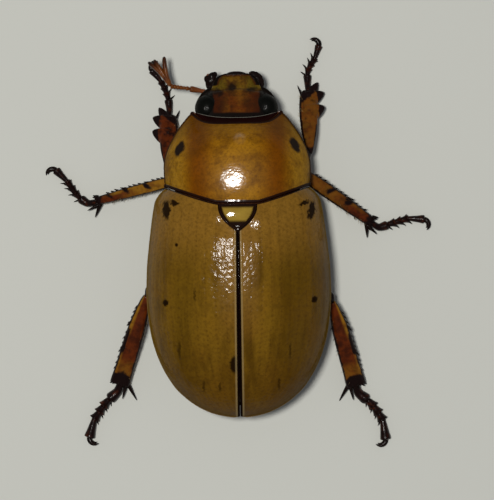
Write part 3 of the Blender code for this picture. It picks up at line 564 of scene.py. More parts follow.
def prosternum_z(y):
    """Height of the prothorax's underside along the middle."""
    return 2.55 + 0.05 * np.abs(y + 5.6) ** 1.5


def belly_z(y):
    """Height of the underside along the middle, behind the prothorax."""
    front = BELLY_Z + np.where(y < -0.5, 0.05 * (y + 0.5) ** 2, 0.0)
    rear = BELLY_Z + 0.25 + 0.009 * (y - THORAX_REAR_Y) ** 2
    return front + (rear - front) * step(y, THORAX_REAR_Y - 0.4, THORAX_REAR_Y + 0.4)


def body_bottom(y):
    """Height of the underside along the middle, rounding up at the end of the abdomen."""
    low = elytra_margin(y)
    rear = low - (low - belly_z(np.minimum(y, 9.0))) * (1.0 - ramp(y, 7.0, ABDOMEN_END_Y) ** 4.0) ** 0.5
    return np.where(y > 6.0, rear, belly_z(y))


def underside_z(x, y):
    """Height of the body's underside above a place."""
    half, low, bottom, square = elytra_half(y, CORE_INSET), elytra_margin(y), belly_z(y), BODY_SQUARE
    if y < PRONOTUM_CORNER_Y:
        half, low, bottom = pronotum_half(y) * 0.97, PRONOTUM_MARGIN_Z, prosternum_z(y)
        square = PROTHORAX_SQUARE
    return low - (low - bottom) * arch(x, half, square)


def elytron_front(x):
    """The front edge of an elytron, round the scutellum and along the pronotum."""
    edge = pronotum_rear(x) + SEAM
    share = np.clip(np.abs(x) / (SCUTELLUM_HALF + SEAM), 0.0, 1.0)
    tip = SCUTELLUM_TIP_Y + SEAM
    around = PRONOTUM_REAR_Y + (tip - PRONOTUM_REAR_Y) * (1.0 - share ** 0.833) ** 0.4
    return np.where(share < 1.0, np.maximum(edge, around), edge)


def elytron_grid(inset=0.0):
    """Points of the left elytron from the suture to the margin and under it."""
    columns, rows = ELYTRON_GRID
    angle = ELYTRON_TURN * (np.linspace(0.0, 1.0, columns) ** ELYTRON_BUNCH)[None, :]
    row = (np.arange(rows) / (rows - 0.6))[:, None]
    spread = np.sin(np.minimum(angle, math.pi / 2.0)) ** (2.0 / DOME_SQUARE)
    start = np.full_like(spread, SHOULDER_Y)
    for _ in range(6):
        start = elytron_front(SUTURE_HALF + (elytra_half(start, inset) - SUTURE_HALF) * spread)
    y = start + (APEX_Y - inset - start) * np.sin(row * math.pi / 2.0) ** 1.1
    half, low, top = elytra_half(y, inset), elytra_margin(y), elytra_top(y, inset)
    under = angle > math.pi / 2.0
    up, across = oval(angle, DOME_SQUARE)
    across = np.where(under, np.sin(angle), across)
    up = np.where(under, np.cos(angle) * 0.35, up)
    return np.stack([SUTURE_HALF + (half - SUTURE_HALF) * across, y, low + (top - low) * up], axis=-1)


def stria_relief(share, across, along):
    """Rows of pits that run the length of a wing case."""
    place = share * (STRIAE + 0.5)
    row = np.round(place)
    off = (place - row) * (across[:, -1:] / (STRIAE + 2.0)) + 0.03 * np.sin(along * 2.3 + row * 1.7)
    pitch = 0.3 + 0.04 * scatter(row, row * 0.5, 4.0)
    turn = along / pitch + scatter(row, row, 7.0)
    near = (turn - np.round(turn)) * pitch
    keep = scatter(row, np.round(turn), 9.0) < 0.8
    relief = np.exp(-(off ** 2 + near ** 2) / 0.065 ** 2) * keep + 0.2 * ridge(off, 0.09)
    return relief * ((row >= 1.0) & (row <= STRIAE - 0.5)) * step(along, 0.4, 1.2)


def elytron(word, material):
    """One wing case with its rim, its ridge along the suture and rows of fine pits."""
    grid = elytron_grid()
    across, along = arc(grid, 1), arc(grid, 0)
    columns = ELYTRON_GRID[0]
    margin = round((columns - 1) * (math.pi / 2.0 / ELYTRON_TURN) ** (1.0 / ELYTRON_BUNCH))
    rim = across[:, margin:margin + 1] - across
    striae = stria_relief((np.arange(columns) / margin)[None, :] + 0.0 * along, across, along)
    loose = pits(across, along, 0.34, 0.055, 3.0, 0.75)
    relief = ripple(grid, 1.1) * 0.012 + ripple(grid, 0.4, 5.0) * 0.007 - striae * 0.014 - loose * 0.008
    relief += ripple(grid, 0.34, 3.0) * 0.008 * swelling(grid, (1.15, -1.6), (0.5, 0.6))
    for place, radii, height in (((4.55, -2.3), (0.75, 1.0), 0.2), ((3.7, 9.3), (0.8, 0.9), 0.14),
                                 ((0.9, -0.6), (3.0, 1.6), 0.1), ((0.9, 0.2), (0.6, 0.8), -0.03)):
        relief += swelling(grid, place, radii) * height
    relief += glint(grid, *SCUTELLUM_GLINTS[word])
    relief += bead(rim, 0.07, 0.1) + bead(across - 0.21, 0.03, 0.07, 0.3) - 0.06 * step(across, 0.15, 0.05)
    relief += bead(along - 0.1, 0.012, 0.1, 0.0) * step(grid[..., 0], 2.2, 1.5)
    relief *= step(np.linalg.norm(grid - grid[-1, -1], axis=-1), 0.0, 0.5)
    relief *= step(along, 0.0, 0.1) * 0.8 + 0.2
    mirror = np.array([SIDES[word], 1.0, 1.0])
    outer = grid + grid_normals(grid) * relief[..., None]
    form = shell(outer * mirror, elytron_grid(ELYTRON_THICK) * mirror, 6)
    made = piece("elytron_" + word, [form], material, "wing_case", "elytron_" + word)
    marks(made, suture=across, front=along, rim=rim, pit=np.maximum(striae, loose * 0.6))


def prothorax_grid():
    """Rings of the prothorax from its front edge to its hind edge, and how far up each point is."""
    columns, rows = PROTHORAX_GRID
    share = np.linspace(0.0, 1.0, rows)[:, None]
    half = pronotum_half(PRONOTUM_ANGLE_Y + (PRONOTUM_CORNER_Y - PRONOTUM_ANGLE_Y) * share)
    across, up = oval(circle(columns), PROTHORAX_SQUARE)
    x = half * across * (1.0 - 0.03 * step(-up, 0.0, 0.06))
    near = np.minimum(np.abs(x) / half, 1.0)
    below = up < 0.0
    front = np.where(below, PRONOTUM_ANGLE_Y + 0.9 * np.minimum(1.0, -up * 1.5), pronotum_front(near))
    rear = np.where(below, PRONOTUM_CORNER_Y, pronotum_rear(near * PRONOTUM_HALF))
    y = front + (rear - front) * share
    low = PRONOTUM_MARGIN_Z
    z = low + np.where(below, low - prosternum_z(y), pronotum_top(y) - low) * up
    return np.stack([x, y, z], axis=-1), up + 0.0 * share


def recess(rim):
    """Rings that line the recess for the head, from its floor to the front edge."""
    reach = (rim - np.array([0.0, 0.0, 4.7])) * np.array([1.0, 0.0, 1.0])
    length = np.linalg.norm(reach, axis=1, keepdims=True)
    rings = []
    for depth, wall in ((HEAD_RECESS, 1.5), (HEAD_RECESS, 1.0), (0.4, 1.0), (0.1, 0.8), (0.0, 0.4)):
        ring = rim - reach / length * np.minimum(RECESS_WALL * wall, 0.4 * length)
        ring[:, 1] = PRONOTUM_FRONT_Y + HEAD_RECESS if depth == HEAD_RECESS else ring[:, 1] + depth
        rings.append(ring)
    return np.array(rings)


def prothorax(material):
    """Pronotum above, prosternum below, and the recess that takes the head."""
    grid, up = prothorax_grid()
    ahead, around = arc(grid, 0), arc(grid, 1)
    behind = ahead[-1:] - ahead
    half_way = PROTHORAX_GRID[0] // 2
    rim = np.minimum(np.minimum(around, around[:, -1:] - around),
                     np.abs(around - around[:, half_way:half_way + 1]))
    fine = pits(around, ahead, 0.26, 0.05, 11.0, 0.85)
    relief = ripple(grid, 1.4) * 0.02 + ripple(grid, 0.4, 3.0) * 0.006 - fine * 0.009
    for place, radii, height in (((-3.75, -6.7), (0.5, 0.6), -0.05), ((3.75, -6.7), (0.5, 0.6), -0.05),
                                 ((0.5, -4.65), (0.9, 0.9), -0.05), ((-0.2, -7.2), (0.24, 0.24), 0.085)):
        relief += swelling(grid, place, radii) * height * (up > 0)
    relief += bead(rim, 0.085, 0.1) + bead(ahead - 0.07, 0.05, 0.09) * (up > -0.4)
    relief += bead(behind - 0.07, 0.04, 0.09) * (up > -0.2)
    normals = grid_normals(np.concatenate([grid[:, -1:], grid, grid[:, :1]], axis=1))[:, 1:-1]
    grid = grid - normals * relief[..., None]
    lining = recess(grid[0])
    form = loft(np.concatenate([lining, grid]), (0.0, PRONOTUM_FRONT_Y + HEAD_RECESS, 4.7), (0.0, -3.55, 5.3))
    made = piece("prothorax", [form], material, "shield", "prothorax")
    fields = {"rim": (rim, 0.0), "front": (ahead, 0.0), "rear": (behind, 0.0), "up": (up, -1.0),
              "pit": (fine, 0.0)}
    marks(made, **{name: np.concatenate([np.full(lining[..., 0].size, first), values.ravel()])
                   for name, (values, first) in fields.items()})


def head_height(x, y):
    """Height of the head or the eye below a place."""
    rows = np.array(HEAD_STATIONS)
    half, middle, top, square = (np.interp(y, rows[:, 0], rows[:, i]) for i in (1, 2, 3, 5))
    skull = middle + (top - middle) * arch(x, half, square)
    away = ((np.abs(x) - EYE_PLACE[0]) / EYE_RADII[0]) ** 2 + ((y - EYE_PLACE[1]) / EYE_RADII[1]) ** 2
    eye = EYE_PLACE[2] + EYE_RADII[2] * np.sqrt(np.clip(1.0 - away, 0.0, 1.0))
    return np.maximum(skull, np.where(away < 1.0, eye, 0.0))


def collar(material):
    """The thin skin between the front edge of the pronotum and the head, painted nearly black as shade in the
    gap there, pale at its rim.
    """
    along = np.linspace(0.0, 1.0, 16)[:, None]
    across, up = oval(np.linspace(0.04, math.pi - 0.04, 160)[None, :], PROTHORAX_SQUARE)
    x = pronotum_half(PRONOTUM_ANGLE_Y) * across
    rear_y = pronotum_front(np.abs(across))
    rear_z = PRONOTUM_MARGIN_Z + (pronotum_top(rear_y) - PRONOTUM_MARGIN_Z) * up
    front_y = COLLAR_Y - 0.42 * np.abs(across) ** 2.5
    rear = np.stack([x * 0.96, rear_y + 0.14, rear_z - 0.16], axis=-1)
    front = np.stack([x * 0.94, front_y, head_height(x * 0.94, front_y) + 0.05], axis=-1)
    grid = rear + (front - rear) * along[..., None]
    grid[..., 2] += 0.12 * np.sin(math.pi * along)
    made = piece("collar", [plate(grid, (0.0, 0.03, -0.06), jump=2)], material, "shield")
    marks(made, pale=np.broadcast_to(along, grid.shape[:2]))


def scutellum(material):
    """The shield-shaped plate, level with the elytra at its tip and sunk at its rim."""
    share, across = grid_shares(60, 81, -1.0)
    base = PRONOTUM_REAR_Y + SEAM
    y = base + (SCUTELLUM_TIP_Y - base) * np.sin(share * math.pi / 2.0) + 0.0 * across
    half = SCUTELLUM_HALF * (1.0 - ramp(y, PRONOTUM_REAR_Y, SCUTELLUM_TIP_Y) ** 2.5) ** 1.2 + 0.02
    x = half * across
    edge = np.minimum(half * (1.0 - np.abs(across)), (SCUTELLUM_TIP_Y - y) * 0.8)
    level = elytra_top(y) - 0.03 + 0.035 * (y - base)
    grid = np.stack([x, y, level - 0.06 * x ** 2 - 0.1 * step(edge, 0.34, 0.05)], axis=-1)
    fine = pits(x, y, 0.24, 0.06, 17.0, 0.4) * step(edge, 0.15, 0.4)
    grid[..., 2] += ripple(grid, 0.3, 8.0) * 0.008 - fine * 0.006
    grid[..., 2] += glint(grid, (0.45, -1.95), (0.6, 0.5), (0.0, -0.3))
    made = piece("scutellum", [plate(grid, (0.0, 0.0, -0.4))], material, "shield", "scutellum")
    marks(made, rim=edge)


def belly_point(share, y):
    """A point of the underside, from -1 at the right margin to 1 at the left one."""
    up, across = oval(share * math.pi / 2.0, BODY_SQUARE)
    low = elytra_margin(y)
    x = elytra_half(y, CORE_INSET) * across
    return np.stack([x, y + 0.0 * x, low - (low - body_bottom(y)) * up], axis=-1)


def sternite(start, end, bow, lift):
    """One belly plate whose hind edge stands proud of the next."""
    along, share = grid_shares(20, 130, -1.0)
    y = start + (end - start) * along + bow * np.abs(share) ** 2
    grid = belly_point(share, np.minimum(y, ABDOMEN_END_Y - 0.05))
    fine = pits(grid[..., 0], grid[..., 1], 0.3, 0.05, start, 0.7)
    drop = lift * (along - 0.6) * np.cos(share * math.pi / 2.0) ** 0.3
    grid[..., 2] -= drop - fine * 0.02 + 0.02 * ridge(1.0 - along, 0.1)
    return plate(grid, (0.0, 0.0, 0.22), 0.97)


def metasternum(side):
    """Half of the broad plate between the middle and hind legs, with its groove."""
    along, share = grid_shares(50, 90)
    share = share ** 1.1 * side
    y = -2.1 + (1.75 + 2.1) * along - 0.5 * np.abs(share) * (1.0 - along)
    grid = belly_point(share, y)
    groove = 0.08 * ridge(grid[..., 0], 0.09)
    fine = pits(grid[..., 0], grid[..., 1], 0.25, 0.05, 23.0, 0.8) * step(np.abs(share), 0.15, 0.6)
    grid[..., 2] += groove + fine * 0.02 - 0.05 * np.cos(share * math.pi / 2.0) + 0.04
    return plate(grid, (0.0, 0.0, 0.25), 0.97)


def belly_plates(material):
    """The plates of the thorax and the six of the abdomen."""
    plates = [sternite(a - 0.12, b, 0.35, 0.1) for a, b in zip(STERNITE_EDGES, STERNITE_EDGES[1:])]
    piece("abdomen_plates", plates, material, "underside")
    chest = [metasternum(-1), metasternum(1), sternite(-3.7, -1.9, 0.0, 0.05)]
    piece("chest_plates", chest, material, "underside")


def core(material):
    """The body's inside, which closes the room under the elytra."""
    y = np.concatenate([np.linspace(-3.6, 10.6, 60), np.linspace(10.65, 11.25, 30)])[:, None]
    low, top = elytra_margin(y), elytra_top(y, CORE_INSET + 0.05)
    top = np.where(y < -1.0, np.minimum(top, 8.6), top)
    across, up = oval(circle(96), BODY_SQUARE)
    z = low + np.where(up > 0, top - low, np.maximum(low - (body_bottom(y) + 0.12), 0.02)) * up
    grid = np.stack([elytra_half(y, CORE_INSET + 0.12) * across, y + 0.0 * across, z], axis=-1)
    piece("body_core", [loft(grid)], material, "underside", "thorax", "abdomen")


def pygidium(material):
    """The large last plate, which slants down from under the tips of the elytra."""
    along, share = grid_shares(60, 90, -1.0)
    bend = np.sin(share * math.pi / 2.0)
    z = PYGIDIUM_Z[0] + (PYGIDIUM_Z[1] - PYGIDIUM_Z[0]) * along + 0.0 * share
    half = 3.9 * (1.0 - along ** 2.3) ** 0.6 * (0.86 + 0.14 * step(along, 0.0, 0.3)) + 0.25
    x = half * bend
    y = 11.35 - 1.25 * along ** 2.4 - 1.15 * np.abs(bend) ** 2.2 * (half / 4.0) ** 2
    grid = np.stack([x, y - pits(x, z, 0.24, 0.06, 31.0, 0.9) * 0.03, z], axis=-1)
    piece("pygidium", [plate(grid, (0.0, -0.35, 0.0))], material, "underside", "pygidium")


# Head

def head(material):
    """The head: a clypeus with an upturned rim, the front, and the back that enters the recess."""
    y, half, middle, top, bottom, square = np.split(refine(HEAD_STATIONS, 20), 6, axis=1)
    across, up = oval(circle(300), square)
    z = middle + np.where(up > 0, top - middle, middle - bottom) * up
    grid = np.stack([half * across, y + 0.0 * across, z], axis=-1)
    x, y = grid[..., 0], grid[..., 1]
    plate_share, upper = step(y, -10.55, -11.1), step(up, -0.02, 0.12)
    edge = np.minimum(half - np.abs(x), 0.1 + y + 11.98)
    rim = 0.16 * ridge(edge, 0.11) - 0.07 * ridge(edge - 0.34, 0.16)
    crenel = 1.0 + 0.12 * np.sin(x * 34.0) * np.cos(y * 29.0)
    grid[..., 2] += rim * plate_share * upper * crenel
    seam = y + 10.72 + 0.1 * np.cos(np.clip(x / 1.9, -1, 1) * math.pi)
    grid[..., 2] -= 0.03 * ridge(seam, 0.06) * upper * step(np.abs(x), 2.0, 1.8)
    rough = pits(x, y, 0.2, 0.055, 41.0, 0.95) * upper
    grid[..., 2] -= rough * 0.013 * step(y, -8.6, -9.2)
    grid[..., 2] += (ripple(grid, 0.5, 9.0) * 0.012 + ripple(grid, 0.22, 2.0) * 0.006) * upper
    brow = swelling(grid, (1.75, -10.05), (0.28, 0.8)) + swelling(grid, (-1.75, -10.05), (0.28, 0.8))
    grid[..., 2] += 0.07 * brow * upper
    made = piece("head", [loft(grid)], material, "head_shell", "head")
    marks(made, edge=np.where(upper > 0.5, edge, 0.0) + (1.0 - plate_share) * 9.0,
          seam=np.abs(seam) + (1.0 - upper) * 9.0, pit=rough, up=up)


def eyes(material):
    """Two bulging compound eyes."""
    for word, side in SIDES.items():
        place = np.array(EYE_PLACE) * np.array([side, 1.0, 1.0])
        piece("eye_" + word, [ball(place, EYE_RADII, 60, 90)], material, "eye", "eye_" + word)


def cheeks(material):
    """A narrow ridge that runs from the cheek back over each eye."""
    forms = [tube([(side * x, y, z) for x, y, z in CHEEK_PATH], CHEEK_SIZES, 16, parts=6)
             for side in SIDES.values()]
    piece("cheek_ridges", forms, material, "head_shell")


def mouth(dark, pale):
    """Upper lip, jaws, chin plate and the two pairs of palps."""
    lip = tube(LIP_PATH, LIP_SIZES, 16, parts=6)
    chin = tube(CHIN_PATH, CHIN_SIZES, 24, square=2.6, parts=6)
    piece("lip_and_chin", [lip, chin], dark, "mouthpart")
    for word in SIDES:
        blade, tooth = JAWS[word]
        forms = [tube(blade, JAW_SIZES, 20, parts=7), tube(tooth, TOOTH_SIZES, 16, parts=6)]
        points, faces = melt(forms, 0.03, 3)
        points = points + (ripple(points, 0.24, 6.0) * 0.06)[:, None] * unit(points - points.mean(axis=0))
        piece("mandible_" + word, [(points, faces)], dark, "mouthpart", "mandible_" + word)
        piece("palp_" + word, palps(word), pale, "mouthpart", "palp_" + word)


def palps(word):
    """The four joints of an outer palp and the three of an inner one."""
    forms = []
    for path, radius in ((OUTER_PALPS[word], 0.15), (INNER_PALP, 0.1)):
        path = np.array(path) * np.array([SIDES[word], 1.0, 1.0])
        for i, (a, b) in enumerate(zip(path, path[1:])):
            swell = 1.2 if i == len(path) - 2 else 1.1
            grow = radius * np.array((0.2, 0.62, 0.85, swell, 0.9, 0.15))
            forms.append(tube(line(a, b, (0.0, 0.06, 0.3, 0.7, 0.93, 1.0)), grow, 14, parts=4))
    return forms


def feeler(word, material):
    """The long first joint and six short ones, up to where the club begins."""
    a, b, c = (np.array(p) for p in FEELERS[word])
    stops = (0.0, 0.03, 0.12, 0.3, 0.6, 0.85, 0.96, 1.0)
    grow = (0.05, 0.18, 0.15, 0.15, 0.2, 0.22, 0.17, 0.04)
    forms = [tube(line(a, b, stops), grow, 18, FEELER_UP, parts=5)]
    for joint in range(FEELER_JOINTS):
        low, high = line(b, c, (joint / FEELER_JOINTS, (joint + 1.08) / FEELER_JOINTS))
        radius = 0.115 + 0.012 * joint if joint else 0.15
        grow = radius * np.array((0.5, 0.72, 0.95, 1.08, 0.9, 0.3))
        forms.append(tube(line(low, high, (0.0, 0.1, 0.4, 0.8, 0.95, 1.0)), grow, 16, FEELER_UP, parts=4))
    piece("antenna_" + word, forms, material, "feeler", "antenna_" + word)
    return c


def club(word, root, material):
    """Three long blades, hollowed where they face each other when shut."""
    stops = (0.0, 0.04, 0.16, 0.4, 0.7, 0.88, 0.97, 1.0)
    sizes = ((0.04, 0.06), (0.12, 0.16), (0.16, 0.26), (0.17, 0.33), (0.17, 0.33), (0.15, 0.27), (0.1, 0.14),
             (0.02, 0.02))
    over = np.array(CLUB_OVER[word])
    forms = []
    for i, tip in enumerate(np.array(CLUB_TIPS[word])):
        bow = unit(np.cross(tip - root, over)) * 0.12 * (i - 1)
        path = [root + (tip - root) * s - bow * math.sin(math.pi * s) for s in stops]
        forms.append(tube(path, sizes, 22, over, parts=5))
    made = piece("antenna_club_" + word, forms, material, "feeler", "antenna_club_" + word)
    reach = np.linalg.norm(np.vstack([form[0] for form in forms]) - root, axis=1)
    marks(made, tip=reach / reach.max())


# Legs

class Leg:
    """A leg's measures, and the ways along, out of and over its shin."""

    def __init__(self, name, knee, ankle, shin, headings, length):
        self.name, self.length = name, length
        self.pair, word = name.split("leg_")
        self.side = SIDES[word]
        self.hook = -self.side if self.pair == "fore" else self.side
        self.knee, self.ankle = np.array(knee), np.array(ankle)
        self.wide, self.high = shin
        self.headings = [math.radians(angle) for angle in headings]
        up = np.array([0.0, 0.0, 1.0])
        self.along = unit(self.ankle - self.knee)
        self.out = unit(np.cross(self.along, up)) * self.hook
        self.over = unit(up - self.along * self.along[2])

    def at(self, share):
        """A place on the shin's axis."""
        return self.knee + (self.ankle - self.knee) * share

    def edge(self, angle):
        """The way from the axis to the shin's side at an angle."""
        return self.out * math.cos(angle) * self.wide + self.over * math.sin(angle) * self.high

    def girth(self, share):
        """How full the shin is at a share of its length."""
        return np.interp(share, SHIN_STOPS, SHIN_GROW[self.pair])


def coxa(leg, material):
    """The first joint of a leg and the small one after it."""
    x, y = COXA_PLACE[leg.pair]
    wide, long = COXA_SIZE[leg.pair]
    middle = np.array([leg.side * x, y, underside_z(x, y) - 0.2])
    x, y = HIP_PLACE[leg.pair]
    hip = np.array([leg.side * x, y, underside_z(x, y) - 0.75])
    way = np.array([leg.side * 1.0, 0.1 if leg.pair == "hind" else -0.12, 0.22])
    path = [middle + way * wide * s for s in (-1.0, -0.86, -0.5, 0.0, 0.5, 0.86, 1.0)]
    sizes = np.outer((0.08, 0.5, 0.88, 1.0, 0.92, 0.6, 0.08), (long, 0.42))
    start = middle + np.array([leg.side * 0.3, 0.0, -0.2])
    small = tube(line(start, hip, (0.0, 0.15, 0.5, 0.85, 1.0)),
                 ((0.1, 0.1), (0.3, 0.24), (0.36, 0.27), (0.3, 0.24), (0.05, 0.05)), 20, parts=5)
    large = tube(path, sizes, 26, parts=5)
    piece(leg.name + "_coxa", [large, small], material, "underside", leg.name + "_coxa")
    return hip


def femur(leg, hip, material):
    """The thigh, flat and spindle-shaped, with a socket for the knee."""
    sizes = np.array(FEMUR_GROW) * FEMUR_HALF[leg.pair]
    form = tube(line(hip, leg.knee, FEMUR_STOPS), sizes, 44, square=2.3, parts=8)
    made = piece(leg.name + "_femur", [form], material, "leg", leg.name + "_femur")
    reach = leg.knee - hip
    marks(made, dark=step((form[0] - hip) @ reach / (reach @ reach), 0.86, 1.0))


def tibia(leg, skin, dark):
    """The shin: toothed and flat on the fore pair, spined on the others."""
    sizes = [(leg.wide * g, leg.high * (0.85 if g < 0.8 else 1.0)) for g in SHIN_GROW[leg.pair]]
    forms = [tube(line(leg.knee, leg.ankle, SHIN_STOPS), sizes, 40, square=2.5, parts=6)]
    thorns = []
    grow_on = teeth if leg.pair == "fore" else ridges
    grow_on(leg, forms, thorns)
    skinned = melt(forms, 0.035, 6)
    made = piece(leg.name + "_tibia", [skinned], skin, "leg", leg.name + "_tibia")
    dark_share, gold_share = tibia_tones(leg, skinned[0])
    marks(made, dark=dark_share, gold=gold_share)
    piece(leg.name + "_spines", thorns, dark, "leg")


def tibia_tones(leg, points):
    """Where a shin is dark and where it is golden, with painted shade over the whole left fore shin."""
    away = points - leg.knee
    share = away @ leg.along / np.linalg.norm(leg.ankle - leg.knee)
    across = away @ leg.out / leg.wide / leg.girth(share)
    edge = step(np.abs(across), 0.62, 0.95)
    left = leg.side > 0
    if leg.pair == "fore":
        inner = step(across, -0.6, -0.95)
        outer = step(across, 0.68, 0.95) * step(share, 0.52, 0.4) + step(across, 0.95, 1.35)
        ends = np.maximum(step(share - 0.1 * across, 0.8, 0.93), step(share, 0.16, 0.04))
        # Painted shade: the left fore shin is darker all over than the right one.
        dark = np.maximum(np.maximum(inner + outer, ends), 0.4 if left else 0.22)
        return np.clip(dark, 0.0, 1.0), (0.0 if left else 0.34) + 0.0 * share
    if leg.pair == "mid":
        slant = share - 0.05 * across
        rows = sum(0.8 * ridge(slant - at, 0.04) for at in ((0.34, 0.58, 0.8) if left else (0.38, 0.62)))
        dark = np.maximum(rows * step(across, -1.2, 0.5), 0.9 * edge)
        gold = np.maximum(step(across, 0.0, 0.6), step(share, 0.75, 0.4)) * step(share, 0.95, 0.7)
        return np.maximum(dark, step(share, 0.84, 0.99)), gold * (1.0 if left else 0.4)
    rows = 0.8 * step(np.abs(share - 0.52), 0.2, 0.08) * step(across, 0.45, 0.7)
    gold = step(across, 0.3, 0.6) * step(share, 0.5, 0.3) + 0.4 * step(share, 0.68, 0.8)
    gold += 0.5 * step(across, 0.5, 0.8)
    dark = np.maximum(np.maximum(rows, 0.85 * edge), step(share - 0.05 * np.abs(across), 0.8, 0.9))
    return dark, np.clip(gold, 0.0, 1.0)


def teeth(leg, forms, thorns):
    """Three blunt teeth on the outer edge of a fore tibia, and its spur."""
    for back, reach, lean, girth in ((0.55, 0.74, 1.22, 0.32), (0.72, 1.16, 0.55, 0.42),
                                     (1.85, 1.16, 0.53, 0.46)):
        place = leg.ankle - leg.along * back
        path = line(place + leg.out * leg.wide * 0.1, place + leg.out * reach + leg.along * lean,
                    (0.0, 0.35, 0.65, 0.88, 1.0))
        sizes = np.array(((1.5, 1.0), (1.25, 1.0), (0.9, 0.9), (0.5, 0.7), (0.14, 0.3))) * (girth, 0.19)
        forms.append(tube(path, sizes, 20, parts=5))
    root = leg.ankle - leg.along * 0.5 - leg.out * leg.wide * 0.6
    thorns.append(thorn(root, leg.along * 0.95 - leg.out * 0.36, 1.0, 0.11, leg.along * 0.04))


def ridges(leg, forms, thorns):
    """Teeth along the outer edge, two slanting keels, a crown of spines at the end and two spurs."""
    draw = random.Random(leg.name)
    for share in (0.15, 0.2, 0.26, 0.43, 0.49, 0.55, 0.71, 0.77, 0.83):
        root = leg.at(share) + leg.out * leg.wide * leg.girth(share) * 0.84
        way = leg.out * 0.6 + leg.along * 0.8 + leg.over * draw.uniform(-0.2, 0.4)
        thorns.append(thorn(root, way, draw.uniform(0.24, 0.36), 0.1))
    for share, reach, angles in ((0.35, 0.3, (-30, 0, 30)), (0.63, 0.36, (-35, -5, 25, 50))):
        rail = []
        for angle in np.radians(angles):
            edge, rise = leg.edge(angle), math.sin(angle)
            root = leg.at(share) + edge * 0.85 - leg.along * 0.35 * rise
            rail.append(root + edge * 0.1)
            way = unit(leg.out * math.cos(angle) + leg.over * rise) * 0.55 + leg.along * 0.9
            size = reach * (1.0 - 0.35 * abs(rise)) * draw.uniform(0.85, 1.1)
            thorns.append(thorn(root, way, size, 0.1, leg.along * 0.1))
        forms.append(tube(rail, [0.04] + [0.09] * (len(rail) - 2) + [0.04], 10, leg.along, parts=4))
    for angle in np.radians((-95, -50, -15, 15, 45, 80, 120, 160, 205, 240)):
        edge = leg.edge(angle)
        root, way = leg.ankle + edge * 0.8 - leg.along * 0.14, leg.along + unit(edge) * 0.55
        thorns.append(thorn(root, way, draw.uniform(0.26, 0.4), 0.12))
    for share in (0.3, 0.42, 0.55, 0.68, 0.8):
        root, way = leg.at(share) - leg.out * leg.wide * 0.85, leg.along * 0.9 - leg.out * 0.8
        thorns.append(thorn(root, way, draw.uniform(0.2, 0.3), 0.035))
    root = leg.ankle - leg.along * 0.25 - leg.out * leg.wide * 0.65
    for ahead, inward, lift in SPUR_TIPS[leg.pair]:
        tip = leg.ankle + leg.along * ahead - leg.out * inward + leg.over * lift
        tip[2] = max(tip[2], 0.12)
        thorns.append(thorn(root, tip - root, np.linalg.norm(tip - root), 0.16, sides=12))


def foot_path(leg):
    """Points along the foot, from the ankle to the claws."""
    here = leg.ankle + leg.along * 0.65
    here[2] = 0.4
    places = [here]
    for i, (share, heading) in enumerate(zip(FOOT_SHARES, leg.headings)):
        here = here + heading_way(heading) * leg.length * share
        here[2] = 0.28 if i == len(FOOT_SHARES) - 1 else 0.245
        places.append(here)
    return places


def tarsus(leg, skin, dark):
    """The foot: five joints, each with spines at its end, and two unequal claws."""
    places = foot_path(leg)
    neck = leg.ankle - leg.along * 0.15
    forms, thorns = [], []
    for i, (a, b) in enumerate(zip([neck] + places[1:], places[1:])):
        last = i == len(FOOT_SHARES) - 1
        path = line(a, b, FOOT_STOPS)
        if i == 0:
            path = list(refine([a, places[0], b], 4)[[0, 0, 1, 2, 4, 6, 7, 8]])
            path[0] = a - leg.along * 0.05
        grow = FOOT_RADIUS[leg.pair] * np.array(FOOT_END_GROW if last else FOOT_GROW)
        forms.append(tube(path, grow, 20, parts=4))
        if not last:
            joint_spines(leg, thorns, b, leg.headings[i])
    claws(leg, thorns, places[-1])
    lowest = min(form[0][:, 2].min() for form in forms)
    for points, _ in forms:
        points[:, 2] -= min(lowest, 0.0)
    made = piece(leg.name + "_tarsus", forms, skin, "leg", leg.name + "_tarsus")
    marks(made, dark=np.full(len(made.data.vertices), 0.68))
    piece(leg.name + "_claws", thorns, dark, "leg")


def joint_spines(leg, thorns, place, heading):
    """Four spines round the end of one joint of a foot."""
    ahead, side = heading_way(heading), heading_way(heading + math.pi / 2.0) * leg.hook
    for across, lift, length in ((1.0, -0.25, 0.5), (0.95, 0.2, 0.42), (-0.6, -0.25, 0.24), (-0.4, 0.3, 0.2)):
        root = place - ahead * 0.1 + side * across * 0.1 + np.array([0, 0, lift * 0.3])
        way = side * across + ahead * 0.75 + np.array([0, 0, lift * 0.25])
        thorns.append(thorn(root, way, length, 0.085))


def claws(leg, thorns, end):
    """Two curved claws of unequal size, one above the other."""
    heading = leg.headings[-1]
    for rise, length, girth in ((0.13, CLAW_LENGTH, 0.19), (-0.07, CLAW_LENGTH * 0.82, 0.165)):
        path = [end - heading_way(heading) * 0.12]
        for i in range(CLAW_STEPS):
            way = heading_way(heading + leg.hook * math.radians(8 + 20 * i))
            way[2] = rise / length
            path.append(path[-1] + way * length / CLAW_STEPS)
        taper = girth * np.array((0.7, 1.0, 1.0, 0.92, 0.8, 0.6, 0.36, 0.06))
        thorns.append(tube(path, taper, 14, parts=4))


# Hair

def jitter(draw, spread):
    """A small random shift of a direction."""
    return np.array([draw.gauss(0, spread) for _ in range(3)])


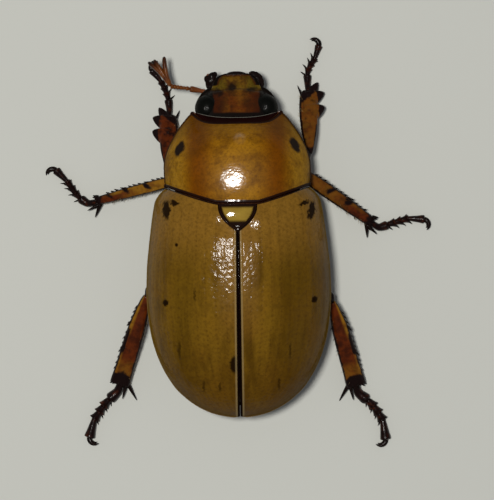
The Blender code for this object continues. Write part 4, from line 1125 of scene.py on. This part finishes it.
def hairs(name, rows, material, slot, spots=None):
    """Fine bristles as closed slips, with a map that keeps each at its root's place."""
    forms = []
    for root, way, length, radius in rows:
        path = [root + way * length * s + np.array([0, 0, -0.12]) * length * s * s for s in (0.0, 0.5, 1.0)]
        guide = (0.3, 0.2, 0.9) if abs(way[2]) < 0.8 else (1.0, 0.2, 0.1)
        forms.append(tube(path, [radius, radius * 0.7, radius * 0.1], 3, guide, parts=1))
    made = piece(name, forms, material, slot)
    if spots is None:
        roots = np.array([row[0] for row in rows])
        around = np.arctan2(roots[:, 0], roots[:, 2] - 5.0) / (2.0 * math.pi) + 0.5
        spots = np.stack([around, (roots[:, 1] + 16.0) / 32.0], axis=1) * 0.96 + 0.02
    flat = np.repeat(np.array(spots), len(forms[0][0]), axis=0)
    spread = np.vstack([form[0] - form[0].mean(axis=0) for form in forms])
    flat += np.clip(spread[:, :2] / 2.0, -1.0, 1.0) * 0.0015
    loops = np.empty(len(made.data.loops), int)
    made.data.loops.foreach_get("vertex_index", loops)
    made.data.uv_layers.new(name="OFBake").data.foreach_set("uv", flat[loops].astype(np.float32).ravel())


def limb_hair(draw, legs):
    """Fine bristles on the inner and lower sides of the shins, with their places on the map."""
    rows, spots = [], []
    for i, leg in enumerate(legs):
        for _ in range(SHIN_HAIRS):
            share, angle = draw.uniform(0.15, 0.97), math.radians(draw.uniform(120.0, 300.0))
            edge = leg.edge(angle)
            way = unit(unit(edge) + leg.along * 0.9 + jitter(draw, 0.12))
            root = leg.at(share) + edge * leg.girth(share) * 0.85
            rows.append((root, way, draw.uniform(0.18, 0.42), HAIR_RADIUS))
            spots.append(((i + 0.15 + 0.3 * angle / math.tau) / 6.0, 0.05 + 0.9 * share))
    return rows, spots


def plate_hair(draw):
    """Sparse rows of bristles near the hind edges of the belly plates."""
    rows = []
    for edge in STERNITE_EDGES[1:]:
        for _ in range(PLATE_HAIRS):
            share = draw.uniform(-0.95, 0.95)
            root = belly_point(np.array(share), np.array(edge - 0.2 + 0.35 * share ** 2))
            way = unit(np.array([root[0] * 0.1 + draw.gauss(0, 0.15), 1.0, -0.45 + draw.gauss(0, 0.15)]))
            rows.append((root, way, draw.uniform(0.2, 0.4), HAIR_RADIUS))
    return rows


def mouth_hair(draw):
    """A fringe of bristles that point ahead from under the clypeus."""
    rows = []
    for _ in range(MOUTH_HAIRS):
        x = draw.uniform(-1.15, 1.15)
        root = np.array([x, -11.6 + 0.16 * x * x, 3.36 + draw.uniform(-0.1, 0.1)])
        way = unit(np.array([0.25 * x + draw.gauss(0, 0.1), -1.0, -0.35 + draw.gauss(0, 0.15)]))
        rows.append((root, way, draw.uniform(0.25, 0.5), HAIR_RADIUS))
    return rows


def breast_hair(draw):
    """Pale hair on both sides of the breast."""
    rows = []
    for _ in range(BREAST_HAIRS):
        share, y = draw.uniform(-0.95, 0.95), draw.uniform(-3.4, 1.6)
        if abs(share) < 0.25:
            continue
        root = belly_point(np.array(share), np.array(y))
        out = unit(np.array([root[0] * 0.5, 0.9, root[2] - 6.0]))
        way = unit(out + np.array([0.0, 0.9, 0.0]) + jitter(draw, 0.2))
        rows.append((root - out * 0.03, way, draw.uniform(0.3, 0.6), BREAST_HAIR_RADIUS))
    return rows


# Materials

class Paint:
    """A material's nodes, with places in millimetres."""

    def __init__(self, name):
        self.made = bpy.data.materials.new(name)
        self.made.use_nodes = True
        self.tree = self.made.node_tree
        self.shader = self.tree.nodes["Principled BSDF"]
        coords = self.node("TexCoord", {}, "Object")
        self.place = self.vector("SCALE", coords, Scale=1000.0)

    def put(self, socket, value):
        """Link a socket, or set its number or colour."""
        if isinstance(value, bpy.types.NodeSocket):
            self.tree.links.new(value, socket)
        elif isinstance(value, tuple) and len(value) == 3 and socket.type == "RGBA":
            socket.default_value = (*value, 1.0)
        else:
            socket.default_value = value

    def node(self, kind, inputs, output=0, **settings):
        """A new node with its settings and inputs, and one of its outputs."""
        node = self.tree.nodes.new("ShaderNode" + kind)
        for name, value in settings.items():
            setattr(node, name, value)
        for socket, value in inputs.items():
            self.put(node.inputs[socket], value)
        return node.outputs[output]

    def vector(self, what, a, b=(0.0, 0.0, 0.0), output="Vector", **more):
        """Vector arithmetic."""
        return self.node("VectorMath", {0: a, 1: b, **more}, output, operation=what)

    def math(self, what, a, b):
        """Arithmetic on numbers."""
        return self.node("Math", {0: a, 1: b}, operation=what)

    def step(self, value, low, high, bottom=0.0, top=1.0):
        """A smooth step from bottom at low to top at high."""
        if low > high:
            low, high, bottom, top = high, low, top, bottom
        inputs = dict(enumerate((value, low, high, bottom, top)))
        return self.node("MapRange", inputs, interpolation_type="SMOOTHSTEP")

    def noise(self, scale, detail=3.0, rough=0.55, stretch=(1.0, 1.0, 1.0), shift=(0.0, 0.0, 0.0)):
        """Noise from 0 to 1 with the given number of waves in a millimetre."""
        place = self.vector("ADD", self.vector("MULTIPLY", self.place, stretch), shift)
        return self.node("TexNoise", {"Vector": place, "Scale": scale, "Detail": detail, "Roughness": rough})

    def cells(self, scale):
        """Distance to the nearest of many scattered points."""
        return self.node("TexVoronoi", {"Vector": self.place, "Scale": scale}, "Distance")

    def mark(self, name):
        """A number kept at the piece's points."""
        return self.node("Attribute", {}, "Fac", attribute_name=name)

    def axis(self, letter):
        """One coordinate of the place."""
        return self.node("SeparateXYZ", {0: self.place}, letter)

    def layers(self, colour, *coats):
        """A colour with others laid over it, each by its share."""
        for share, tone in coats:
            colour = self.node("Mix", {0: share, 6: colour, 7: tone}, 2, data_type="RGBA")
        return colour

    def spot(self, centre, radii, turn=0.0, soft=0.25, ragged=0.0, wobble=None):
        """1 inside an oval seen from above and 0 outside it."""
        away = self.vector("SUBTRACT", self.place, (*centre, 0.0))
        if ragged:
            away = self.vector("ADD", away, self.vector("SCALE", wobble, Scale=ragged))
        inputs = {"Vector": away, "Angle": math.radians(turn)}
        turned = self.node("VectorRotate", inputs, rotation_type="Z_AXIS")
        scaled = self.vector("MULTIPLY", turned, (1.0 / radii[0], 1.0 / radii[1], 0.0))
        return self.step(self.vector("LENGTH", scaled, output="Value"), 1.0 + soft, 1.0 - soft)

    def wobble(self, scale):
        """A shift of places, for ragged edges."""
        shift = self.node("TexNoise", {"Vector": self.place, "Scale": scale}, 1)
        return self.vector("SUBTRACT", shift, (0.5, 0.5, 0.5))

    def ragged(self, value, scale, detail, reach):
        """A number shifted up and down by noise."""
        shift = self.math("SUBTRACT", self.noise(scale, detail), 0.5)
        return self.math("ADD", value, self.times(shift, reach))

    def most(self, result, *values):
        """The largest of several numbers."""
        for value in values:
            result = self.math("MAXIMUM", result, value)
        return result

    def times(self, a, b):
        """The product of two numbers."""
        return self.math("MULTIPLY", a, b)

    def finish(self, colour, rough, coat=0.0, coat_rough=0.05, bump=None, depth=0.01, specular=0.5,
               coat_ior=1.5):
        """Set the shader and return the material."""
        self.put(self.shader.inputs["Base Color"], colour)
        self.put(self.shader.inputs["Roughness"], rough)
        self.put(self.shader.inputs["Coat Weight"], coat)
        self.shader.inputs["Coat Roughness"].default_value = coat_rough
        self.shader.inputs["Coat IOR"].default_value = coat_ior
        self.shader.inputs["Specular IOR Level"].default_value = specular
        if bump is not None:
            normal = self.node("Bump", {"Strength": 1.0, "Distance": depth * MM, "Height": bump})
            self.put(self.shader.inputs["Normal"], normal)
            self.put(self.shader.inputs["Coat Normal"], normal)
        return self.made


def speckle(p, scale):
    """Fine and coarse dark mottling, from 0 to about a half."""
    coarse = p.step(p.noise(scale * 0.36, 4.0, 0.65, shift=(5.0, 2.0, 7.0)), 0.46, 0.7, 0.0, 0.34)
    return p.most(p.step(p.noise(scale, 5.0, 0.75), 0.42, 0.68, 0.0, 0.42), coarse)


def mottle(p, scale, light, dark):
    """Clouds of one colour on another."""
    return p.layers(light, (p.step(p.noise(scale, 4.0, 0.6), 0.4, 0.66), dark))


def grain(p, scale, cells, share):
    """Height of a fine grain with cells in it."""
    return p.math("ADD", p.noise(scale, 3.0), p.times(p.cells(cells), share))


def paint_elytra():
    """Amber brown with vague streaks, painted shade and sheen, a dark suture with pale lines beside it that
    are lightened as a painted highlight, pale rim and the six spots.
    """
    p = Paint("elytra")
    suture, rim, spots = p.mark("suture"), p.mark("rim"), elytra_spots(p)
    colour = p.layers(
        elytra_ground_with_painted_light(p, suture, rim),
        (speckle(p, 4.6), (0.05, 0.022, 0.002)),
        (p.times(p.mark("pit"), 0.4), (0.05, 0.02, 0.002)),
        (p.times(spots, 0.96), (0.008, 0.003, 0.001)),
        # The pale lines beside the suture: a thin pale edge, lightened further as a painted highlight.
        (p.step(suture, 0.32, 0.22, 0.0, 0.5), (0.34, 0.25, 0.11)),
        (p.step(suture, 0.18, 0.11), (0.006, 0.002, 0.001)),
        (p.times(p.step(rim, 0.3, 0.2), p.step(rim, 0.1, 0.18)), (0.02, 0.008, 0.002)),
        (p.step(rim, 0.13, 0.05), (0.24, 0.15, 0.05)),
        (p.step(p.mark("front"), 0.11, 0.05), (0.012, 0.004, 0.002)))
    dull = p.most(spots, p.step(rim, 3.0, 0.3), p.step(suture, 0.2, 0.1))
    shine = p.step(p.spot((0.0, -1.6), (1.6, 1.0)), 0.0, 1.0, 0.0, 0.7)
    coat = p.times(p.most(p.step(dull, 0.0, 1.0, 0.26, 0.06), shine), p.step(suture, 0.1, 0.2, 0.15, 1.0))
    return p.finish(colour, 0.42, coat, 0.14, grain(p, 3.6, 3.0, 0.7), 0.022, 0.0)


def elytra_ground_with_painted_light(p, suture, rim):
    """The elytra's colour without spots and lines, with painted shade that darkens the right side and a
    painted sheen that lightens the front and the band along the suture.
    """
    x, y = p.axis("X"), p.axis("Y")
    away = p.math("ABSOLUTE", x, 0.0)
    return p.layers(
        (0.185, 0.096, 0.006),
        (p.step(p.noise(0.9, 4.0, 0.6, (1.0, 0.16, 0.5)), 0.4, 0.66), (0.095, 0.047, 0.002)),
        (p.step(p.noise(0.35, 3.0, 0.5, shift=(3.0, 9.0, 1.0)), 0.42, 0.7, 0.0, 0.5), (0.2, 0.092, 0.006)),
        (p.times(p.times(p.step(away, 2.3, 3.6), p.step(away, 5.0, 4.2)), 0.4), (0.085, 0.045, 0.001)),
        # Painted shade: the right side of the elytra is darkened, away from the light.
        (p.step(x, -1.5, -3.6, 0.0, 0.45), (0.075, 0.036, 0.001)),
        # Painted sheen: a pinkish glow along the suture in the front half, and the front of the elytra made
        # lighter.
        (p.times(p.step(suture, 2.4, 0.3, 0.0, 0.62), p.step(y, 8.0, 0.5)), (0.26, 0.135, 0.035)),
        (p.step(y, 2.5, -1.5, 0.0, 0.72), (0.27, 0.135, 0.018)),
        (p.step(rim, 2.4, 0.35, 0.0, 0.8), (0.21, 0.12, 0.009)),
        (p.step(y, 5.5, 12.0, 0.0, 0.62), (0.085, 0.036, 0.001)))


def elytra_spots(p):
    """Two ragged spots at the shoulders, one on each side, one by the suture, and short dashes."""
    coarse, fine = p.wobble(3.4), p.wobble(6.0)
    patches = [p.spot(*row) for row in (
        ((4.9, -2.32), (0.27, 0.68), 0, 0.3, 0.55, coarse),
        ((4.3, -2.75), (0.32, 0.17), 18, 0.35, 0.5, coarse),
        ((-5.12, -2.15), (0.26, 0.62), 8, 0.3, 0.55, coarse),
        ((-4.6, -2.65), (0.36, 0.16), -24, 0.35, 0.5, coarse),
        ((5.03, 4.1), (0.2, 0.22), 0, 0.3, 0.25, fine), ((-5.22, 3.98), (0.2, 0.24), 0, 0.3, 0.25, fine),
        ((4.22, 0.12), (0.11, 0.12), 0, 0.4), ((0.3, 8.4), (0.36, 0.6), 0, 0.25, 0.2, fine))]
    for x, y, long in ((3.01, 3.55, 0.42), (4.12, 7.3, 0.6), (1.37, 9.97, 0.34), (2.49, 9.92, 0.4),
                       (-3.5, 7.5, 0.5), (-2.71, 9.8, 0.4)):
        patches.append(p.times(p.spot((x, y), (0.09, long), 0, 0.5, 0.3, fine), 0.62))
    return p.most(*patches)


def paint_pronotum():
    """Orange tan in the middle, olive yellow at the sides, with a black spot on each."""
    p = Paint("pronotum")
    x, y, wobble = p.math("ABSOLUTE", p.axis("X"), 0.0), p.axis("Y"), p.wobble(2.4)
    spots = p.most(p.spot((3.98, -6.56), (0.29, 0.58), 26, 0.25, 0.25, wobble),
                   p.spot((-4.04, -6.74), (0.29, 0.58), -26, 0.25, 0.25, wobble))
    edge = p.most(p.step(p.mark("front"), 0.24, 0.14), p.step(p.mark("rear"), 0.25, 0.17))
    colour = p.layers(
        (0.37, 0.165, 0.005),
        (p.step(x, 0.8, 2.7), (0.185, 0.055, 0.001)),
        (p.step(x, 2.9, 4.2), (0.36, 0.18, 0.008)),
        (p.step(p.noise(0.7, 4.0, 0.6), 0.46, 0.68, 0.0, 0.6), (0.115, 0.038, 0.002)),
        (p.step(y, -6.8, -8.6, 0.0, 0.45), (0.1, 0.042, 0.002)),
        (p.times(p.mark("pit"), 0.35), (0.06, 0.022, 0.002)),
        (speckle(p, 4.0), (0.06, 0.02, 0.001)),
        (spots, (0.012, 0.005, 0.002)),
        (p.step(p.mark("rim"), 0.24, 0.1), (0.045, 0.018, 0.004)),
        (edge, (0.014, 0.004, 0.002)),
        (p.step(p.mark("up"), 0.0, -0.06), (0.06, 0.02, 0.006)))
    shine = p.most(p.spot((0.0, -4.5), (1.9, 1.8), soft=0.9), p.spot((-0.2, -7.1), (0.4, 0.4), soft=0.6))
    coat = p.step(shine, 0.0, 1.0, 0.08, 0.85)
    return p.finish(colour, 0.42, coat, 0.17, grain(p, 7.0, 5.0, 0.6), 0.005, 0.0, 1.8)


def paint_scutellum():
    """Pale gold with wide dark brown edges."""
    p = Paint("scutellum")
    y = p.axis("Y")
    dark = p.most(p.step(p.mark("rim"), 0.32, 0.16), p.step(y, -2.3, -2.5), p.step(y, -1.6, -1.35))
    colour = p.layers((0.4, 0.26, 0.03), (p.noise(1.4), (0.2, 0.115, 0.008)), (dark, (0.012, 0.004, 0.002)))
    return p.finish(colour, 0.4, p.step(dark, 1.0, 0.0, 0.1, 0.65), 0.12, p.noise(6.0), 0.012, 0.03, 1.8)


def paint_head():
    """Red brown with dark blotches, a painted gold sheen in the middle of the front, an olive clypeus, a dark
    rim and black beside the eyes.
    """
    p = Paint("head")
    edge = p.mark("edge")
    x, y = p.math("ABSOLUTE", p.axis("X"), 0.0), p.axis("Y")
    black = (0.005, 0.003, 0.002)
    flank = p.times(p.step(x, 0.5, 1.5), p.step(y, -10.9, -10.3))
    # Painted sheen: lighter gold clouds in the middle of the front of the head.
    gold = p.times(p.step(x, 1.2, 0.3), p.step(p.noise(0.8, 2.0), 0.4, 0.65))
    rim = p.ragged(edge, 3.0, 3.0, 0.25)
    colour = p.layers(
        (0.105, 0.066, 0.004),
        (p.step(y, -10.9, -10.4), (0.115, 0.028, 0.002)),
        (p.times(flank, 0.85), (0.035, 0.006, 0.001)),
        # The painted gold sheen is laid on here.
        (p.times(gold, 0.6), (0.19, 0.075, 0.004)),
        (p.step(p.noise(1.1, 4.0, 0.6), 0.46, 0.66, 0.0, 0.8), (0.04, 0.012, 0.002)),
        (p.times(head_spots(p), 0.85), black),
        (p.times(p.mark("pit"), 0.35), (0.02, 0.008, 0.002)),
        (p.step(p.mark("seam"), 0.07, 0.03, 0.0, 0.3), black),
        (p.step(rim, 0.48, 0.3), (0.05, 0.015, 0.002)),
        (p.step(rim, 0.31, 0.22), black),
        (p.times(p.step(x, 1.5, 1.72), p.step(y, -11.0, -10.6)), black),
        (p.step(y, -9.2, -9.0), black),
        (p.step(p.mark("up"), -0.05, -0.2), (0.02, 0.008, 0.004)))
    return p.finish(colour, 0.42, p.step(edge, 0.3, 0.6, 0.04, 0.3), 0.14, p.noise(8.0), 0.01, 0.03)


def head_spots(p):
    """Dark blotches of the head, from 0 to 1."""
    wobble = p.wobble(2.4)
    faint = p.most(p.spot((0.95, -9.7), (0.3, 0.55), 20, 0.6, 0.7, wobble),
                   p.spot((-0.75, -9.75), (0.28, 0.5), -15, 0.6, 0.7, wobble))
    return p.most(p.times(faint, 0.6),
                  p.spot((1.3, -10.55), (0.42, 0.24), 10, 0.5, 0.5, wobble),
                  p.spot((-1.05, -10.72), (0.4, 0.22), -10, 0.5, 0.5, wobble),
                  p.spot((0.34, -10.9), (0.27, 0.25), 0, 0.4, 0.3, wobble))


def paint_leg():
    """Orange brown, dark where a joint is marked dark."""
    p = Paint("leg")
    streak = p.times(p.mark("gold"), p.step(p.noise(1.9, 3.0, 0.6), 0.3, 0.6, 0.35, 0.95))
    colour = p.layers(
        mottle(p, 1.3, (0.1, 0.018, 0.002), (0.045, 0.008, 0.0015)),
        (speckle(p, 2.6), (0.03, 0.006, 0.001)),
        (streak, (0.26, 0.12, 0.008)),
        (p.step(p.ragged(p.mark("dark"), 2.6, 4.0, 1.1), 0.25, 0.7), (0.007, 0.002, 0.0015)))
    return p.finish(colour, 0.4, 0.3, 0.16, p.noise(8.0), 0.018, 0.04)


def paint_collar():
    """Nearly black as painted shade in the gap round the head, with a pale grey rim."""
    p = Paint("collar")
    # Painted shade: the near-black ground stands for the shadow between head and pronotum.
    colour = p.layers((0.006, 0.002, 0.002), (p.noise(0.9, 3.0), (0.018, 0.003, 0.002)),
                      (p.step(p.mark("pale"), 0.93, 0.97), (0.16, 0.155, 0.13)))
    return p.finish(colour, 0.6, 0.03, 0.3, p.noise(9.0), 0.01, 0.0)


def paint_feeler():
    """Dark red, orange at the first joint and nearly black at the tips of the blades."""
    p = Paint("feeler")
    x, y = p.math("ABSOLUTE", p.axis("X"), 0.0), p.axis("Y")
    colour = p.layers(
        mottle(p, 1.6, (0.15, 0.045, 0.008), (0.06, 0.014, 0.004)),
        (p.times(p.step(x, 3.1, 2.6), p.step(y, -9.4, -10.2)), (0.17, 0.05, 0.015)),
        (p.step(p.mark("tip"), 0.6, 0.97), (0.014, 0.005, 0.003)))
    return p.finish(colour, 0.42, 0.2, 0.2, p.noise(9.0), 0.01, 0.08)


def paint_plain(name, light, dark, rough, coat):
    """A mottled gloss between two colours."""
    p = Paint(name)
    colour = p.layers(light, (p.step(p.noise(1.2, 4.0, 0.6), 0.38, 0.66), dark))
    return p.finish(colour, rough, coat, 0.14, p.noise(9.0), 0.01, 0.06)


def paint_eye():
    """Black facets under a clear gloss."""
    p = Paint("eye")
    colour = p.layers((0.002, 0.0025, 0.002), (p.noise(2.0), (0.004, 0.004, 0.003)))
    return p.finish(colour, 0.4, 0.12, 0.1, p.cells(20.0), 0.008, 0.03)


# Stage

def stage():
    """A pale floor, the camera, and soft lights."""
    mesh = bpy.data.meshes.new("floor")
    corners = [(x * FLOOR_REACH, y * FLOOR_REACH, 0) for x, y in ((-1, -1), (1, -1), (1, 1), (-1, 1))]
    mesh.from_pydata(corners, [], [(0, 1, 2, 3)])
    floor = add("floor", mesh)
    mesh.materials.append(Paint("floor").finish(FLOOR_COLOUR, 0.8, specular=0.2))

    data = bpy.data.cameras.new("camera")
    data.lens = CAMERA_LENS
    data.sensor_width = SENSOR
    data.clip_start = CLIP_START
    camera = add("camera", data)
    camera.location = Vector(CAMERA_PLACE) * MM
    camera.rotation_euler = (0.0, 0.0, CAMERA_TURN)
    bpy.context.scene.camera = camera

    for name, row in LAMPS.items():
        lamp(name, *row)
    world = bpy.data.worlds.new("studio")
    world.use_nodes = True
    world.node_tree.nodes["Background"].inputs[0].default_value = SKY
    world.node_tree.nodes["Background"].inputs[1].default_value = SKY_POWER
    bpy.context.scene.world = world
    bpy.context.scene.view_settings.view_transform = "Standard"


def lamp(name, place, size, power, colour):
    """A round soft light that faces the beetle."""
    data = bpy.data.lights.new(name, "AREA")
    data.shape = "DISK"
    data.size = size * MM
    data.energy = power
    data.color = colour
    item = add(name, data)
    item.location = Vector(place) * MM
    item.rotation_euler = (Vector(LAMP_AIM) - Vector(place)).to_track_quat("-Z", "Y").to_euler()


def build_body(under):
    """The wing cases, the shields and the underside."""
    wing = paint_elytra()
    for word in SIDES:
        elytron(word, wing)
    prothorax(paint_pronotum())
    collar(paint_collar())
    scutellum(paint_scutellum())
    core(under)
    belly_plates(under)
    pygidium(under)


def build_head(shade, dark, pale):
    """The head and all that grows on it."""
    head(shade)
    cheeks(shade)
    eyes(paint_eye())
    mouth(dark, pale)
    for word in SIDES:
        club(word, feeler(word, pale), pale)


def build_legs(legs, skin, dark, under):
    """The six legs."""
    for leg in legs:
        femur(leg, coxa(leg, under), skin)
        tibia(leg, skin, dark)
        tarsus(leg, skin, dark)


def build_hair(legs):
    """The bristles, which share one row of random draws."""
    draw = random.Random(HAIR_SEED)
    hair = paint_plain("hair", (0.4, 0.28, 0.12), (0.3, 0.2, 0.08), 0.5, 0.0)
    hairs("breast_hair", breast_hair(draw), hair, "underside")
    hairs("plate_hair", plate_hair(draw), hair, "underside")
    hairs("mouth_hair", mouth_hair(draw), hair, "mouthpart")
    rows, spots = limb_hair(draw, legs)
    hairs("shin_hair", rows, hair, "leg", spots)


def main():
    """Dress every node."""
    under = paint_plain("underside", (0.09, 0.03, 0.012), (0.025, 0.01, 0.006), 0.34, 0.4)
    dark = paint_plain("dark_horn", (0.008, 0.003, 0.002), (0.004, 0.0015, 0.001), 0.5, 0.1)
    legs = [Leg(name, *row) for name, row in LEG_ROWS.items()]
    build_body(under)
    build_head(paint_head(), dark, paint_feeler())
    build_legs(legs, paint_leg(), dark, under)
    build_hair(legs)
    stage()


main()
